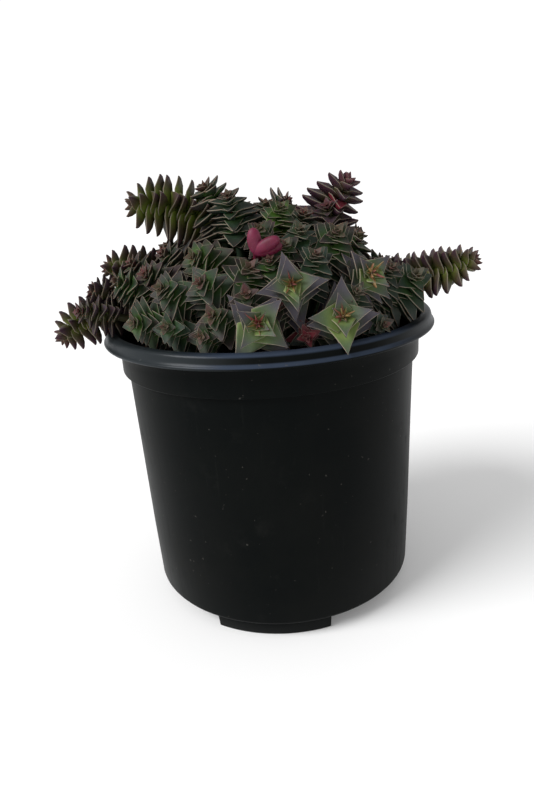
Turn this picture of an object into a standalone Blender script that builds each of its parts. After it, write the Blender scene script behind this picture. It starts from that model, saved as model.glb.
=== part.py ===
"""A red pagoda crassula in a black nursery pot: pot, soil and one object for each leafy stem.

Metres, +Z up. The origin is on the ground, under the pot's axis, and the plant's front faces -Y.
Each stem stands in its own hole in the soil, curves to its tip, and carries crossed pairs of
three-cornered leaves, which are extruded from the sides of its square core.
"""

import math
import random

import bmesh
import bpy
import numpy as np
from mathutils import Matrix, Vector
from mathutils.bvhtree import BVHTree

MM = 0.001
GAP = 0.3

# The pot, in millimetres: 165 mm over the rim, which is a 6.5 inch nursery pot.
RIM_R = 82.5
POT_H = 145.8
WALL = 1.5
COLLAR_R = 75.2
COLLAR_Z = 139.2
LEDGE_TOP_Z = 126.7
LEDGE_LOW_Z = 124.3
BODY_TOP_R = 72.4
BODY_LOW_R = 69.1
PLATE_Z = 8.0
PLATE_T = 1.6
CORNER = 2.0
POT_SIDES = 32

# Three feet under the base plate, one nearly at the front, with a drain hole in each notch between.
FOOT_COUNT = 3
FOOT_SPAN = math.radians(50)
FOOT_TURN = math.radians(-6.5)
FOOT_OUT_R = 64.8
FOOT_IN_R = 50.0
FOOT_WALL = 1.8
DRAIN_R = 4.5
DRAIN_PLACE_R = 57.0

# The soil fills the pot to 16 mm under the rim's top, a little higher in the middle.
SOIL_EDGE_Z = 130.0
SOIL_MID_Z = 133.5
SOIL_SIDES = POT_SIDES
HOLE_DEPTH = 12.0

# Half the side of a stem's square core, its corners in halves, and the point on its top.
CORE = 1.7
YOUNG_CORE = 0.6
CORNERS = ((1, -1), (1, 1), (-1, 1), (-1, -1))
CORE_POINT = 1.2

# A stem's hole lies at this share of its tip's distance from the pot's axis, and inside the limit.
HOLE_SHARE = {"stem": 0.5, "arm": 0.25}
HOLE_RING = 52.0
HOLE_LIMIT = 58.0
HOLE_ROOM = 8.0

# A stem's curve has four control points. The second lies over the hole, at a share of the distance to
# the tip, and leans out. The third lies behind the tip, at a multiple of the leafy stretch.
ROOT_RISE = {"stem": 0.3, "arm": 0.38}
ROOT_LEAN = 0.35
HANDLE = {"stem": 1.0, "arm": 1.3}
HANDLE_MORE = 4.0
CURVE_POINTS = 160
WAY_SPAN = 0.7

# How far apart the curves settle, low down and at their leaves, and how freely each control point moves.
CLEAR_BARE = 6.0
CLEAR_LEAFY = 8.5
SETTLE_ROUNDS = 80
SETTLE_POINTS = 14
SETTLE_STEP = 0.3
FREEDOM = (1.0, 1.0, 0.35, 0.0)

# A side shoot forks off at a share of its stem's curve. The points near the fork may lie close, and the
# bare part of a core has two more squares.
FORK_AT = 0.1
FORK_POINTS = 4
BARE_SHARES = (0.35, 0.75)

# Leaf pairs stand closer, and leaves are shorter and more upright, towards the stem's tip. Each value
# comes near to its full size within its own distance.
PITCH = {"stem": 3.6, "arm": 2.3}
YOUNG_PITCH = 1.4
PITCH_WITHIN = 6.0
YOUNG_LENGTH = 0.26
LENGTH_WITHIN = 6.0
YOUNG_TILT = 35
FULL_TILT = 90
TILT_WITHIN = 3.5
CORE_WITHIN = 4.0

# A leaf is widest at a third of its length, flat above and wedge-shaped below, with its tip turned up.
WIDEST_AT = 0.30
WIDTH_SHARE = 0.43
QUARTER_SHARE = 0.9
FACE = 0.4
TIP_LIFT = 0.5
CORE_SWELL = 0.1
NEAR = 34.0

# How a leaf gives way to a neighbour: a share of its length, and a few degrees more or less open.
TRIES = [(share, bend) for share in (1.0, 0.87, 0.74, 0.62, 0.5) for bend in (0, -8, 8)]

# Each stem: its name, the place of its tip (mm), the way the tip points as a heading (0 to the front,
# 90 to the right) and a rise (90 straight up), the turn of its leaf rows, the length of its leafy
# stretch and of a full leaf (mm). The open rosettes at the front come first, and then the long arms.
ROSETTES = [
    ("front_left", (-4, -77, 157), 1, 13, 48, 14, 15.5),
    ("front_middle", (10, -72, 171), -3, 12, 12, 14, 14.0),
    ("front_right", (30, -72, 157), 0, 28, 5, 14, 15.5),
    ("right_high", (44, -58, 171), 18, 18, 35, 14, 12.5),
]
ARMS = [
    ("arm_left_high", (-57.5, -14, 203), -84, 5, 24, 42, 15.0),
    ("arm_left_low", (-98, -22, 145.5), -98, -38, 20, 14, 12.0),
    ("arm_left_mid", (-75, -6, 174.5), -95, 12, 15, 22, 12.5),
    ("arm_right", (97, -20, 168), 84, 22, 45, 30, 13.0),
    ("arm_top_right", (41, -6, 206), 64, 50, 40, 13, 14.0),
]
STACKS = [
    ("middle_square", (-6, -60, 177), -5, 48, 45, 18, 15.0),
    ("right_square", (31, -50, 188), 10, 48, 30, 18, 15.0),
    ("right_fan", (67, -38, 166), 20, 48, 10, 18, 15.5),
    ("left_green", (-30, -50, 182), -50, 15, 30, 18, 14.0),
    ("left_inner", (-27, -63, 173), -38, 30, 40, 16, 13.0),
    ("rim_left", (-58, -53, 156), -38, 10, 10, 14, 12.5),
    ("rim_star", (-43, -61, 155), -15, 17, 0, 12, 11.5),
    ("left_rose", (-44, -56, 171), -42, 35, 20, 14, 12.5),
    ("left_brown", (-53, -38, 175), -52, 35, 45, 14, 13.0),
    ("left_dark", (-46, -25, 182), -70, 35, 30, 16, 13.0),
    ("left_fold", (-67, -35, 172), -70, 25, 20, 16, 13.0),
    ("left_bend", (-81, -24, 167), -78, 20, 40, 16, 13.0),
    ("rim_inner_left", (-23, -68, 160), -30, 30, 25, 14, 12.5),
    ("front_red", (4, -67, 162), 15, 40, 0, 12, 12.0),
    ("middle_lines", (9, -57, 185), 8, 55, 45, 12, 12.0),
    ("middle_blue", (16, -50, 190), 10, 60, 10, 14, 12.0),
    ("rim_low_right", (49, -59, 149), 35, 15, 10, 11, 11.0),
    ("right_grey", (55, -44, 171), 25, 50, 20, 12, 12.0),
    ("right_dark", (67, -18, 165), 60, 50, 0, 14, 12.0),
    ("right_edge", (44, -27, 184), 65, 48, 30, 16, 12.5),
    ("top_small", (-14, -29, 205), -20, 50, 20, 14, 12.0),
    ("top_yellow", (9, -38, 199), 15, 48, 30, 14, 12.0),
    ("top_layers", (19, -26, 195), 10, 72, 45, 18, 13.5),
    ("top_fins", (14, 4, 200), 78, 14, 0, 20, 12.0),
    ("top_red", (31, -12, 197), -30, 45, 25, 16, 12.5),
    ("top_left", (-25, -18, 209), -60, 50, 10, 16, 15.0),
    ("top_middle", (-10, 4, 200), -30, 80, 30, 14, 14.0),
]

# Side shoots fork off a stem just over the soil: the stem's name comes first.
SHOOTS = [
    ("left_bend", (-85, -38, 160), -55, 12, 20, 11, 11.0),
    ("rim_inner_left", (-28, -69, 152), -25, 12, 0, 11, 10.5),
    ("front_red", (-8, -68, 168), -10, 45, 15, 11, 11.0),
    ("middle_lines", (2, -62, 180), 0, 50, 20, 11, 11.0),
    ("middle_blue", (21, -63, 181), 20, 55, 30, 12, 11.5),
    ("top_yellow", (-1, -55, 192), 0, 35, 45, 9, 9.5),
    ("rim_low_right", (15, -70, 149), -20, 20, 20, 9, 8.5),
    ("right_grey", (37, -64, 165), 20, 35, 45, 11, 11.5),
    ("right_dark", (78, -8, 158), 80, 20, 25, 14, 13.0),
    ("left_brown", (-62, -20, 178), -65, 45, 10, 14, 13.0),
    ("left_dark", (-70, 6, 168), -92, 20, 40, 14, 13.5),
    ("top_middle", (3, -10, 200), 10, 70, 0, 10, 12.0),
    ("top_fins", (12, 22, 195), 150, 70, 20, 10, 14.0),
]

# The back has no photograph: stems in rings fill the same dome, and every second one is a side
# shoot of the one before. Each ring: distance from the axis, height, first and last heading, how
# many tips, rise, leafy stretch and leaf length.
BACK_RINGS = [
    (78, 152, 98, 262, 13, 10, 15, 14.5),
    (69, 163, 98, 262, 11, 38, 13, 14.5),
    (47, 185, 90, 268, 8, 55, 13, 14.5),
    (26, 195, 110, 250, 4, 72, 12, 14.5),
]
BACK_JITTER = 2.0
BACK_SEED = 7

# One old stem has lost its leaves but for a few thick red ones at its top: length, heading and rise.
RED_TIP = (-3, -60, 183)
RED_LEAVES = [(9.5, -70, 86), (11.5, 70, 26), (11.0, 86, 10)]
RED_WIDTH = 2.9
RED_THICK = 2.2
RED_TAPER = 0.22
RED_BASE = 0.8


def clear_scene():
    for obj in list(bpy.data.objects):
        bpy.data.objects.remove(obj, do_unlink=True)


def colour_material(name, colour, roughness):
    material = bpy.data.materials.new(name)
    material.use_nodes = True
    shader = material.node_tree.nodes["Principled BSDF"]
    shader.inputs["Base Color"].default_value = (*colour, 1)
    shader.inputs["Roughness"].default_value = roughness
    shader.inputs["Metallic"].default_value = 0
    return material


def finished(name, bm, colour, roughness, smooth_angle=None):
    """Puts a bmesh in millimetres into the scene as a named object in metres."""
    bmesh.ops.scale(bm, vec=(MM, MM, MM), verts=bm.verts)
    mesh = bpy.data.meshes.new(name)
    bm.to_mesh(mesh)
    bm.free()
    obj = bpy.data.objects.new(name, mesh)
    bpy.context.scene.collection.objects.link(obj)
    mesh.materials.append(colour_material(name, colour, roughness))
    if smooth_angle:
        mesh.shade_smooth()
        mesh.set_sharp_from_angle(angle=smooth_angle)
    return obj


def turned(profile, sides, angle=2 * math.pi, start=0.0):
    """A bmesh made by turning a closed run of (radius, height) points about Z."""
    bm = bmesh.new()
    spoke = Vector((math.cos(start), math.sin(start), 0))
    verts = [bm.verts.new(spoke * r + Vector((0, 0, z))) for r, z in profile]
    edges = [bm.edges.new(pair) for pair in zip(verts, verts[1:])]
    whole = angle > 6.28
    if not whole:
        edges.append(bm.edges.new((verts[-1], verts[0])))
        bm.faces.new(verts)
    geometry = verts + edges + list(bm.faces)
    bmesh.ops.spin(
        bm, geom=geometry, cent=(0, 0, 0), axis=(0, 0, 1), angle=angle, steps=sides,
        use_merge=whole, use_duplicate=False,
    )
    if not whole:
        bmesh.ops.holes_fill(bm, edges=[e for e in bm.edges if e.is_boundary])
    bmesh.ops.remove_doubles(bm, verts=bm.verts, dist=1e-4)
    bmesh.ops.recalc_face_normals(bm, faces=bm.faces)
    return bm


def helper(name, bm):
    """A cutter or a block to join, which isn't part of the model."""
    obj = finished(name, bm, (0.5, 0.5, 0.5), 0.5)
    obj.hide_render = True
    obj.display_type = "WIRE"
    return obj


def apply_boolean(obj, helpers, operation):
    """Joins or cuts all the helpers in one go, and removes them."""
    group = bpy.data.collections.new("helpers")
    for other in helpers:
        group.objects.link(other)
    modifier = obj.modifiers.new(operation.lower(), "BOOLEAN")
    modifier.operation = operation
    modifier.operand_type = "COLLECTION"
    modifier.collection = group
    modifier.solver = "EXACT"
    graph = bpy.context.evaluated_depsgraph_get()
    mesh = bpy.data.meshes.new_from_object(obj.evaluated_get(graph))
    obj.modifiers.clear()
    mesh.name = obj.name
    obj.data = mesh
    for other in helpers:
        bpy.data.objects.remove(other, do_unlink=True)
    bpy.data.collections.remove(group)


def inner_radius(z):
    """The radius inside the pot's wall at a height."""
    share = (z - PLATE_Z) / (LEDGE_LOW_Z - PLATE_Z)
    return BODY_LOW_R + share * (BODY_TOP_R - BODY_LOW_R) - WALL


def pot_profile():
    outside = [
        (0, PLATE_Z),
        (BODY_LOW_R - CORNER, PLATE_Z),
        (BODY_LOW_R, PLATE_Z + 0.6 * CORNER),
        (BODY_TOP_R, LEDGE_LOW_Z),
        (COLLAR_R - 0.1, LEDGE_TOP_Z),
        (COLLAR_R, COLLAR_Z),
    ]
    rim = [
        (RIM_R - 1.9, COLLAR_Z - 0.2),
        (RIM_R - 0.4, COLLAR_Z + 0.3),
        (RIM_R, COLLAR_Z + 1.2),
        (RIM_R - 0.5, COLLAR_Z + 2.1),
        (RIM_R - 1.5, COLLAR_Z + 4.9),
        (RIM_R - 3.1, POT_H),
        (RIM_R - 5.6, POT_H - 0.1),
        (RIM_R - 6.8, POT_H - 1.4),
    ]
    inside = [
        (COLLAR_R - WALL, COLLAR_Z + 1.6),
        (COLLAR_R - WALL - 0.1, LEDGE_TOP_Z + 0.6),
        (BODY_TOP_R - WALL, LEDGE_LOW_Z + 0.6),
        (inner_radius(PLATE_Z + PLATE_T + 1), PLATE_Z + PLATE_T + 1),
        (BODY_LOW_R - CORNER - 0.8, PLATE_Z + PLATE_T),
        (0, PLATE_Z + PLATE_T),
    ]
    return outside + rim + inside


def foot_angle(index):
    """The middle of a foot: the first is nearly at the front."""
    return -math.pi / 2 + FOOT_TURN + index * 2 * math.pi / FOOT_COUNT


def make_pot():
    pot = finished("pot", turned(pot_profile(), POT_SIDES), (0.012, 0.016, 0.016), 0.42, math.radians(35))
    foot = [(FOOT_IN_R, 0), (FOOT_OUT_R, 0), (FOOT_OUT_R + 1.4, PLATE_Z + 0.8), (FOOT_IN_R - 1, PLATE_Z + 0.8)]
    pocket = [
        (FOOT_IN_R + FOOT_WALL, -1),
        (FOOT_OUT_R - FOOT_WALL, -1),
        (FOOT_OUT_R - FOOT_WALL, PLATE_Z - 1.6),
        (FOOT_IN_R + FOOT_WALL, PLATE_Z - 1.6),
    ]
    feet = []
    cutters = []
    for index in range(FOOT_COUNT):
        middle = foot_angle(index)
        bm = turned(foot, 8, FOOT_SPAN, middle - FOOT_SPAN / 2)
        feet.append(helper(f"foot_{index}", bm))
        inner_span = FOOT_SPAN - 2 * FOOT_WALL / FOOT_IN_R
        bm = turned(pocket, 8, inner_span, middle - inner_span / 2)
        cutters.append(helper(f"pocket_{index}", bm))
        notch = middle + math.pi / FOOT_COUNT
        bm = bmesh.new()
        bmesh.ops.create_cone(bm, cap_ends=True, segments=12, radius1=DRAIN_R, radius2=DRAIN_R, depth=8)
        place = Vector((math.cos(notch), math.sin(notch), 0)) * DRAIN_PLACE_R
        bmesh.ops.translate(bm, vec=place + Vector((0, 0, PLATE_Z)), verts=bm.verts)
        cutters.append(helper(f"drain_{index}", bm))
    apply_boolean(pot, feet, "UNION")
    apply_boolean(pot, cutters, "DIFFERENCE")
    pot.data.shade_smooth()
    pot.data.set_sharp_from_angle(angle=math.radians(35))
    return pot


def soil_height(x, y):
    """The soil's top: a low mound with shallow lumps."""
    r = math.hypot(x, y) / (COLLAR_R - WALL)
    mound = SOIL_EDGE_Z + (SOIL_MID_Z - SOIL_EDGE_Z) * (1 - r * r)
    return mound + 0.5 * math.sin(x * 0.21 + 1) * math.cos(y * 0.17)


def make_soil(holes):
    floor = PLATE_Z + PLATE_T + GAP
    profile = [
        (0, floor),
        (BODY_LOW_R - CORNER - 1.4, floor),
        (inner_radius(floor + 2) - GAP, floor + 2),
        (BODY_TOP_R - WALL - GAP, LEDGE_LOW_Z + 1.1),
        (COLLAR_R - WALL - 0.1 - GAP, LEDGE_TOP_Z + 1.2),
        (COLLAR_R - WALL - 0.1 - GAP, SOIL_EDGE_Z),
        (COLLAR_R * 0.7, SOIL_EDGE_Z + 1),
        (COLLAR_R * 0.35, SOIL_EDGE_Z + 2),
        (0, SOIL_MID_Z),
    ]
    bm = turned(profile, SOIL_SIDES)
    for vert in bm.verts:
        if vert.co.z >= SOIL_EDGE_Z - 0.01:
            vert.co.z = soil_height(vert.co.x, vert.co.y)
    soil = finished("soil", bm, (0.035, 0.025, 0.018), 0.95)
    cutters = []
    half = CORE + GAP
    for index, (x, y) in enumerate(holes):
        bm = bmesh.new()
        bmesh.ops.create_cube(bm, size=1)
        bottom = SOIL_EDGE_Z - HOLE_DEPTH
        top = SOIL_MID_Z + 4
        bmesh.ops.scale(bm, vec=(2 * half, 2 * half, top - bottom), verts=bm.verts)
        bmesh.ops.translate(bm, vec=(x, y, (top + bottom) / 2), verts=bm.verts)
        cutters.append(helper(f"hole_{index}", bm))
    apply_boolean(soil, cutters, "DIFFERENCE")
    return soil


def direction(heading, rise):
    """A unit vector: heading 0 is to the front, 90 to the right."""
    h, e = math.radians(heading), math.radians(rise)
    return Vector((math.sin(h) * math.cos(e), -math.cos(h) * math.cos(e), math.sin(e)))


def back_stems():
    """The stems and side shoots of the back, by ring, each a little off its place."""
    draw = random.Random(BACK_SEED)
    stems = []
    shoots = []
    for ring, (radius, height, first, last, count, rise, leafy, length) in enumerate(BACK_RINGS):
        for index in range(count):
            heading = first + (last - first) * index / (count - 1) + draw.uniform(-2, 2)
            tip = direction(heading, 0) * (radius + draw.uniform(-BACK_JITTER, BACK_JITTER))
            tip.z = height + draw.uniform(-BACK_JITTER, BACK_JITTER)
            turn = draw.uniform(0, 90)
            lean = rise + draw.uniform(-8, 8)
            values = (tuple(tip), heading, lean, turn, leafy, length)
            if index % 2 == 0:
                name = f"back_{ring + 1}_{index // 2 + 1}"
                stems.append((name, *values))
            else:
                shoots.append((name, *values))
    return stems, shoots


def nearing(distance, first, full, within):
    """A value that is first at the stem's tip and comes near to full after some distance."""
    return full + (first - full) * math.exp(-distance / within)


class Shoot:
    """A leafy stem from its hole in the soil to its tip, or a side shoot from the stem it forks off."""

    def __init__(self, name, tip, heading, rise, turn, leafy, length, kind="stem", stem=None):
        self.name = name
        self.tip = Vector(tip)
        self.way = direction(heading, rise)
        self.turn = math.radians(turn)
        self.leafy = leafy
        self.length = length
        self.kind = kind
        self.stem = stem
        self.leaves = []
        outward = Vector((self.tip.x, self.tip.y, 0))
        foot = outward * HOLE_SHARE[kind]
        foot.length = min(foot.length, HOLE_RING)
        foot.z = SOIL_MID_Z + 1
        first_rise = ROOT_RISE[kind] * (self.tip - foot).length
        lean = outward.normalized() * ROOT_LEAN
        self.curve = np.array([
            foot,
            foot + (Vector((0, 0, 1)) + lean) * first_rise,
            self.tip - self.way * (leafy * HANDLE[kind] + HANDLE_MORE),
            self.tip,
        ], dtype=float)
        if stem:
            self.curve[0] = stem.fork()

    def fork(self):
        return (bernstein([FORK_AT]) @ self.curve)[0]

    def lay_out(self):
        """Works out the core's squares from the tip down, once the curve has settled."""
        self.frames = framed(self, stations(self))
        if not self.stem:
            square_to_hole(self.frames)
        self.seats = seats(self)


def bernstein(t):
    t = np.asarray(t, dtype=float)[:, None]
    s = 1 - t
    return np.hstack([s**3, 3 * s * s * t, 3 * s * t * t, t**3])


def settle(shoots):
    """Moves the holes and the bare part of the curves apart, so that no stem runs into another."""
    steps = SETTLE_POINTS
    weights = bernstein(np.linspace(0, 1, steps))
    freedom = np.array(FREEDOM)
    count = len(shoots)
    curves = np.array([shoot.curve for shoot in shoots])
    owner = np.repeat(np.arange(count), steps)
    root = np.array([shoots.index(shoot.stem) if shoot.stem else i for i, shoot in enumerate(shoots)])
    near_fork = np.tile(np.arange(steps) < FORK_POINTS, count)
    one_stem = root[owner][:, None] == root[owner][None, :]
    free = one_stem & (near_fork[:, None] | near_fork[None, :])
    counts = (owner[:, None] != owner[None, :]) & ~free
    reach = np.tile(np.linspace(CLEAR_BARE, CLEAR_LEAFY, steps), count)
    want = np.minimum(reach[:, None], reach[None, :])
    mains = root == np.arange(count)
    for _ in range(SETTLE_ROUNDS):
        points = np.einsum("mk,nkd->nmd", weights, curves).reshape(-1, 3)
        apart = points[:, None] - points[None, :]
        distance = np.linalg.norm(apart, axis=2) + 1e-9
        short = np.where(counts, np.maximum(0, want - distance), 0)
        push = (apart * (short / distance)[:, :, None]).sum(axis=1) * SETTLE_STEP
        push = push.reshape(count, steps, 3)
        move = np.einsum("mk,nmd->nkd", weights, push) * freedom[None, :, None]
        move[:, 0, 2] = 0
        curves += move
        feet = curves[mains, 0, :2]
        apart = feet[:, None] - feet[None, :]
        distance = np.linalg.norm(apart, axis=2) + np.eye(len(feet)) * 1e3
        short = np.maximum(0, HOLE_ROOM - distance)
        feet += (apart * (short / distance)[:, :, None]).sum(axis=1) * SETTLE_STEP
        far = np.linalg.norm(feet, axis=1)
        curves[mains, 0, :2] = feet * np.minimum(1, HOLE_LIMIT / far)[:, None]
        curves[~mains, 0] = (bernstein([FORK_AT]) @ curves[root[~mains]])[:, 0]
    for shoot, curve in zip(shoots, curves):
        shoot.curve = curve


def stations(shoot):
    """Places from the tip down: (centre, way, half side of the core, leaf pair or None)."""
    fine = bernstein(np.linspace(1, 0, CURVE_POINTS)) @ shoot.curve
    steps = np.linalg.norm(np.diff(fine, axis=0), axis=1)
    along = np.concatenate([[0], np.cumsum(steps)])

    def at(distance):
        return Vector([float(np.interp(distance, along, fine[:, i])) for i in range(3)])

    places = []
    distance = 0.0
    while distance < shoot.leafy:
        half = nearing(distance, YOUNG_CORE, CORE, CORE_WITHIN)
        places.append((distance, half, len(places)))
        distance += nearing(distance, YOUNG_PITCH, PITCH[shoot.kind], PITCH_WITHIN)
    places.append((distance, CORE, None))
    for share in BARE_SHARES:
        places.append((distance + (along[-1] - distance) * share, CORE, None))
    found = []
    for distance, half, pair in places:
        way = (at(max(0, distance - WAY_SPAN)) - at(distance + WAY_SPAN)).normalized()
        found.append((at(distance), way, half, pair))
    shoot.depths = [distance for distance, half, pair in places]
    if not shoot.stem:
        foot = Vector(shoot.curve[0])
        up = Vector((0, 0, 1))
        found.append((foot, up, CORE, None))
        found.append((Vector((foot.x, foot.y, SOIL_EDGE_Z - HOLE_DEPTH + GAP)), up, CORE, None))
    return found


def framed(shoot, places):
    """Adds to each place the direction of leaf row 0, carried down the stem without twist."""
    way = places[0][1]
    side = Vector((0, 0, 1)) - way * way.z
    if side.length < 0.2:
        side = Vector((0, -1, 0)) + way * way.y
    side.normalize()
    side = Matrix.Rotation(shoot.turn, 3, way) @ side
    frames = []
    before = way
    for centre, way, half, pair in places:
        side = before.rotation_difference(way) @ side
        side = (side - way * side.dot(way)).normalized()
        frames.append((centre, way, side, half, pair))
        before = way
    return frames


def square_to_hole(frames):
    """Turns the two lowest squares to the soil's square hole, by the nearest quarter."""
    for index in (-2, -1):
        centre, way, side, half, pair = frames[index]
        quarter = round(math.atan2(side.y, side.x) / (math.pi / 2)) * math.pi / 2
        frames[index] = (centre, way, Vector((math.cos(quarter), math.sin(quarter), 0)), half, pair)


def square(frame):
    """The corners of the core at a frame, counter-clockwise seen from the tip."""
    centre, way, side, half, _ = frame
    cross = way.cross(side)
    return [centre + side * (half * a) + cross * (half * b) for a, b in CORNERS]


def row_ways(way, side):
    """The outward directions of the four leaf rows."""
    cross = way.cross(side)
    return [side, cross, -side, -cross]


class Seat:
    """The side of the core that one leaf grows from."""

    def __init__(self, shoot, index, row):
        upper, lower = shoot.frames[index], shoot.frames[index + 1]
        self.pair = upper[4]
        self.row = row
        self.depth = (shoot.depths[index] + shoot.depths[index + 1]) / 2
        self.way = upper[1]
        self.outward = row_ways(self.way, upper[2])[row]
        self.across = self.way.cross(self.outward)
        self.half = (upper[3] + lower[3]) / 2
        self.centre = (upper[0] + lower[0]) / 2
        self.middle = self.centre + self.outward * self.half
        high, low = square(upper), square(lower)
        self.corners = [low[row], high[row], low[(row + 1) % 4], high[(row + 1) % 4]]


def seats(shoot):
    """A pair of opposite sides for each leafy stretch of the core, turned a quarter each time."""
    found = []
    for index, frame in enumerate(shoot.frames):
        if frame[4] is not None:
            row = frame[4] % 2
            found.append([Seat(shoot, index, row), Seat(shoot, index, row + 2)])
    return found


class Leaf:
    """The three points of one leaf beyond its seat: two where it is widest, and the tip."""

    def __init__(self, seat, length, tilt, swell=0.0):
        self.seat = seat
        blade = seat.way * math.cos(tilt) + seat.outward * math.sin(tilt)
        upper = seat.way * math.sin(tilt) - seat.outward * math.cos(tilt)
        widest = seat.middle + blade * (WIDEST_AT * length) + upper * (FACE + swell)
        room = QUARTER_SHARE * (widest - seat.centre).dot(seat.outward)
        width = min(WIDTH_SHARE * length, room) + swell
        self.left = widest + seat.across * width
        self.right = widest - seat.across * width
        self.tip = seat.middle + blade * (length + swell) + upper * TIP_LIFT

    def shape(self):
        """The leaf as triangles, to test what it would touch."""
        points = self.seat.corners + [self.left, self.right, self.tip]
        faces = [(1, 3, 4), (1, 4, 5), (2, 3, 4), (2, 4, 6), (0, 1, 5), (0, 5, 6), (0, 2, 6), (4, 5, 6)]
        return points, faces


def core_shape(shoot):
    """The core's sides as triangles, slightly swollen."""
    points = []
    faces = []
    for frame in shoot.frames:
        centre, way, side, half, pair = frame
        points += square((centre, way, side, half + CORE_SWELL, pair))
    for index in range(len(shoot.frames) - 1):
        for row in range(4):
            a, b = index * 4 + row, index * 4 + (row + 1) % 4
            faces += [(a, b, b + 4), (a, b + 4, a + 4)]
    return points, faces


class Growth:
    """Grows the leaves of all the shoots, from the tips down, and keeps each clear of the rest."""

    def __init__(self, shoots, others):
        self.shoots = shoots
        self.others = others
        self.shapes = [core_shape(shoot) for shoot in shoots]
        self.trees = [BVHTree.FromPolygons(*shape) for shape in self.shapes]

    def near(self, index):
        """The search trees of the other shoots that are close enough to matter."""
        here = self.shoots[index]
        return [
            self.trees[other] for other, there in enumerate(self.shoots)
            if other != index and (there.tip - here.tip).length < there.leafy + here.leafy + NEAR
        ] + self.others

    def fitted(self, seat, length, tilt, neighbours):
        """The longest leaf at this seat that stays clear, or None."""
        for share, bend in TRIES:
            angle = math.radians(tilt + bend)
            tree = BVHTree.FromPolygons(*Leaf(seat, length * share, angle, GAP).shape())
            if not any(tree.overlap(other) for other in neighbours):
                return Leaf(seat, length * share, angle)
        return None

    def grow_pair(self, index, pair):
        shoot = self.shoots[index]
        neighbours = self.near(index)
        points, faces = self.shapes[index]
        for seat in shoot.seats[pair]:
            length = shoot.length * nearing(seat.depth, YOUNG_LENGTH, 1.0, LENGTH_WITHIN)
            tilt = nearing(seat.depth, YOUNG_TILT, FULL_TILT, TILT_WITHIN)
            leaf = self.fitted(seat, length, tilt, neighbours)
            if leaf:
                shoot.leaves.append(leaf)
                more_points, more_faces = leaf.shape()
                faces += [tuple(i + len(points) for i in face) for face in more_faces]
                points += more_points
        self.trees[index] = BVHTree.FromPolygons(points, faces)

    def run(self, first_count):
        """The first shoots grow whole, and then the rest grow together, a pair at a time."""
        for index in range(first_count):
            for pair in range(len(self.shoots[index].seats)):
                self.grow_pair(index, pair)
        for pair in range(max(len(shoot.seats) for shoot in self.shoots)):
            for index in range(first_count, len(self.shoots)):
                if pair < len(self.shoots[index].seats):
                    self.grow_pair(index, pair)


def place_square(cap, corners):
    """Moves a four-sided face onto four corners, each vertex to its own in the same order."""
    verts = list(cap.verts)
    shift = min(range(4), key=lambda s: sum((v.co - corners[(i + s) % 4]).length for i, v in enumerate(verts)))
    for i, vert in enumerate(verts):
        vert.co = corners[(i + shift) % 4]


def extrude_core(bm, cap, shoot, frames, first):
    """Extrudes the core up through its frames, and notes the side faces that leaves grow from."""
    sides = {}
    for index in range(first, -1, -1):
        cap = bmesh.ops.extrude_discrete_faces(bm, faces=[cap])["faces"][0]
        place_square(cap, square(frames[index]))
        for loop in cap.loops:
            face = next(f for f in loop.edge.link_faces if f is not cap)
            sides[index, len(sides)] = face
    bmesh.ops.poke(bm, faces=[cap])["verts"][0].co = frames[0][0] + frames[0][1] * CORE_POINT
    for face in sides.values():
        face.normal_update()
    faces = {}
    for (index, _), face in sides.items():
        if frames[index][4] is None:
            continue
        rows = row_ways(frames[index][1], frames[index][2])
        row = max(range(4), key=lambda r: face.normal.dot(rows[r]))
        faces[frames[index][4], row] = face
    return faces, sides


def make_core(shoot):
    """A stem's core from its foot to its tip."""
    bm = bmesh.new()
    frames = shoot.frames
    bmesh.ops.create_cube(bm, size=2)
    low, high = square(frames[-1]), square(frames[-2])
    for vert in bm.verts:
        place = CORNERS.index((round(vert.co.x), round(vert.co.y)))
        vert.co = (high if vert.co.z > 0 else low)[place]
    cap = max(bm.faces, key=lambda face: face.calc_center_median().z)
    faces, sides = extrude_core(bm, cap, shoot, frames, len(frames) - 3)
    lowest = len(frames) - 3
    trunk = [face for (index, _), face in sides.items() if index == lowest]
    return bm, faces, trunk


def grow_leaf(bm, face, leaf):
    """Extrudes a leaf from its side of the core: the upper corners spread, and the lower ones meet."""
    end = bmesh.ops.extrude_discrete_faces(bm, faces=[face])["faces"][0]
    low = sorted(end.verts, key=lambda v: (v.co - leaf.seat.middle).dot(leaf.seat.way))
    for vert in low[2:]:
        vert.co = leaf.left if (vert.co - leaf.seat.middle).dot(leaf.seat.across) > 0 else leaf.right
    bmesh.ops.pointmerge(bm, verts=low[:2], merge_co=leaf.tip)


def make_stem(shoot, side_shoots):
    """The mesh of a stem with its side shoots and all their leaves, as one body."""
    bm, faces, trunk = make_core(shoot)
    for leaf in shoot.leaves:
        grow_leaf(bm, faces[leaf.seat.pair, leaf.seat.row], leaf)
    for side_shoot in side_shoots:
        first = side_shoot.frames[-1][0]
        root = max(trunk, key=lambda f: (first - f.calc_center_median()).normalized().dot(f.normal))
        trunk.remove(root)
        faces, _ = extrude_core(bm, root, side_shoot, side_shoot.frames, len(side_shoot.frames) - 1)
        for leaf in side_shoot.leaves:
            grow_leaf(bm, faces[leaf.seat.pair, leaf.seat.row], leaf)
    bmesh.ops.triangulate(bm, faces=bm.faces, quad_method="SHORT_EDGE")
    bmesh.ops.recalc_face_normals(bm, faces=bm.faces)
    return bm


def solid_tree(obj):
    """A finished object as a search tree, in millimetres."""
    points = [vert.co / MM for vert in obj.data.vertices]
    return BVHTree.FromPolygons(points, [tuple(face.vertices) for face in obj.data.polygons])


def leaf_colour(name):
    if name in [entry[0] for entry in ROSETTES]:
        return (0.13, 0.17, 0.07)
    if "red" in name or name == "arm_top_right":
        return (0.12, 0.05, 0.06)
    return (0.075, 0.085, 0.055)


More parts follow.
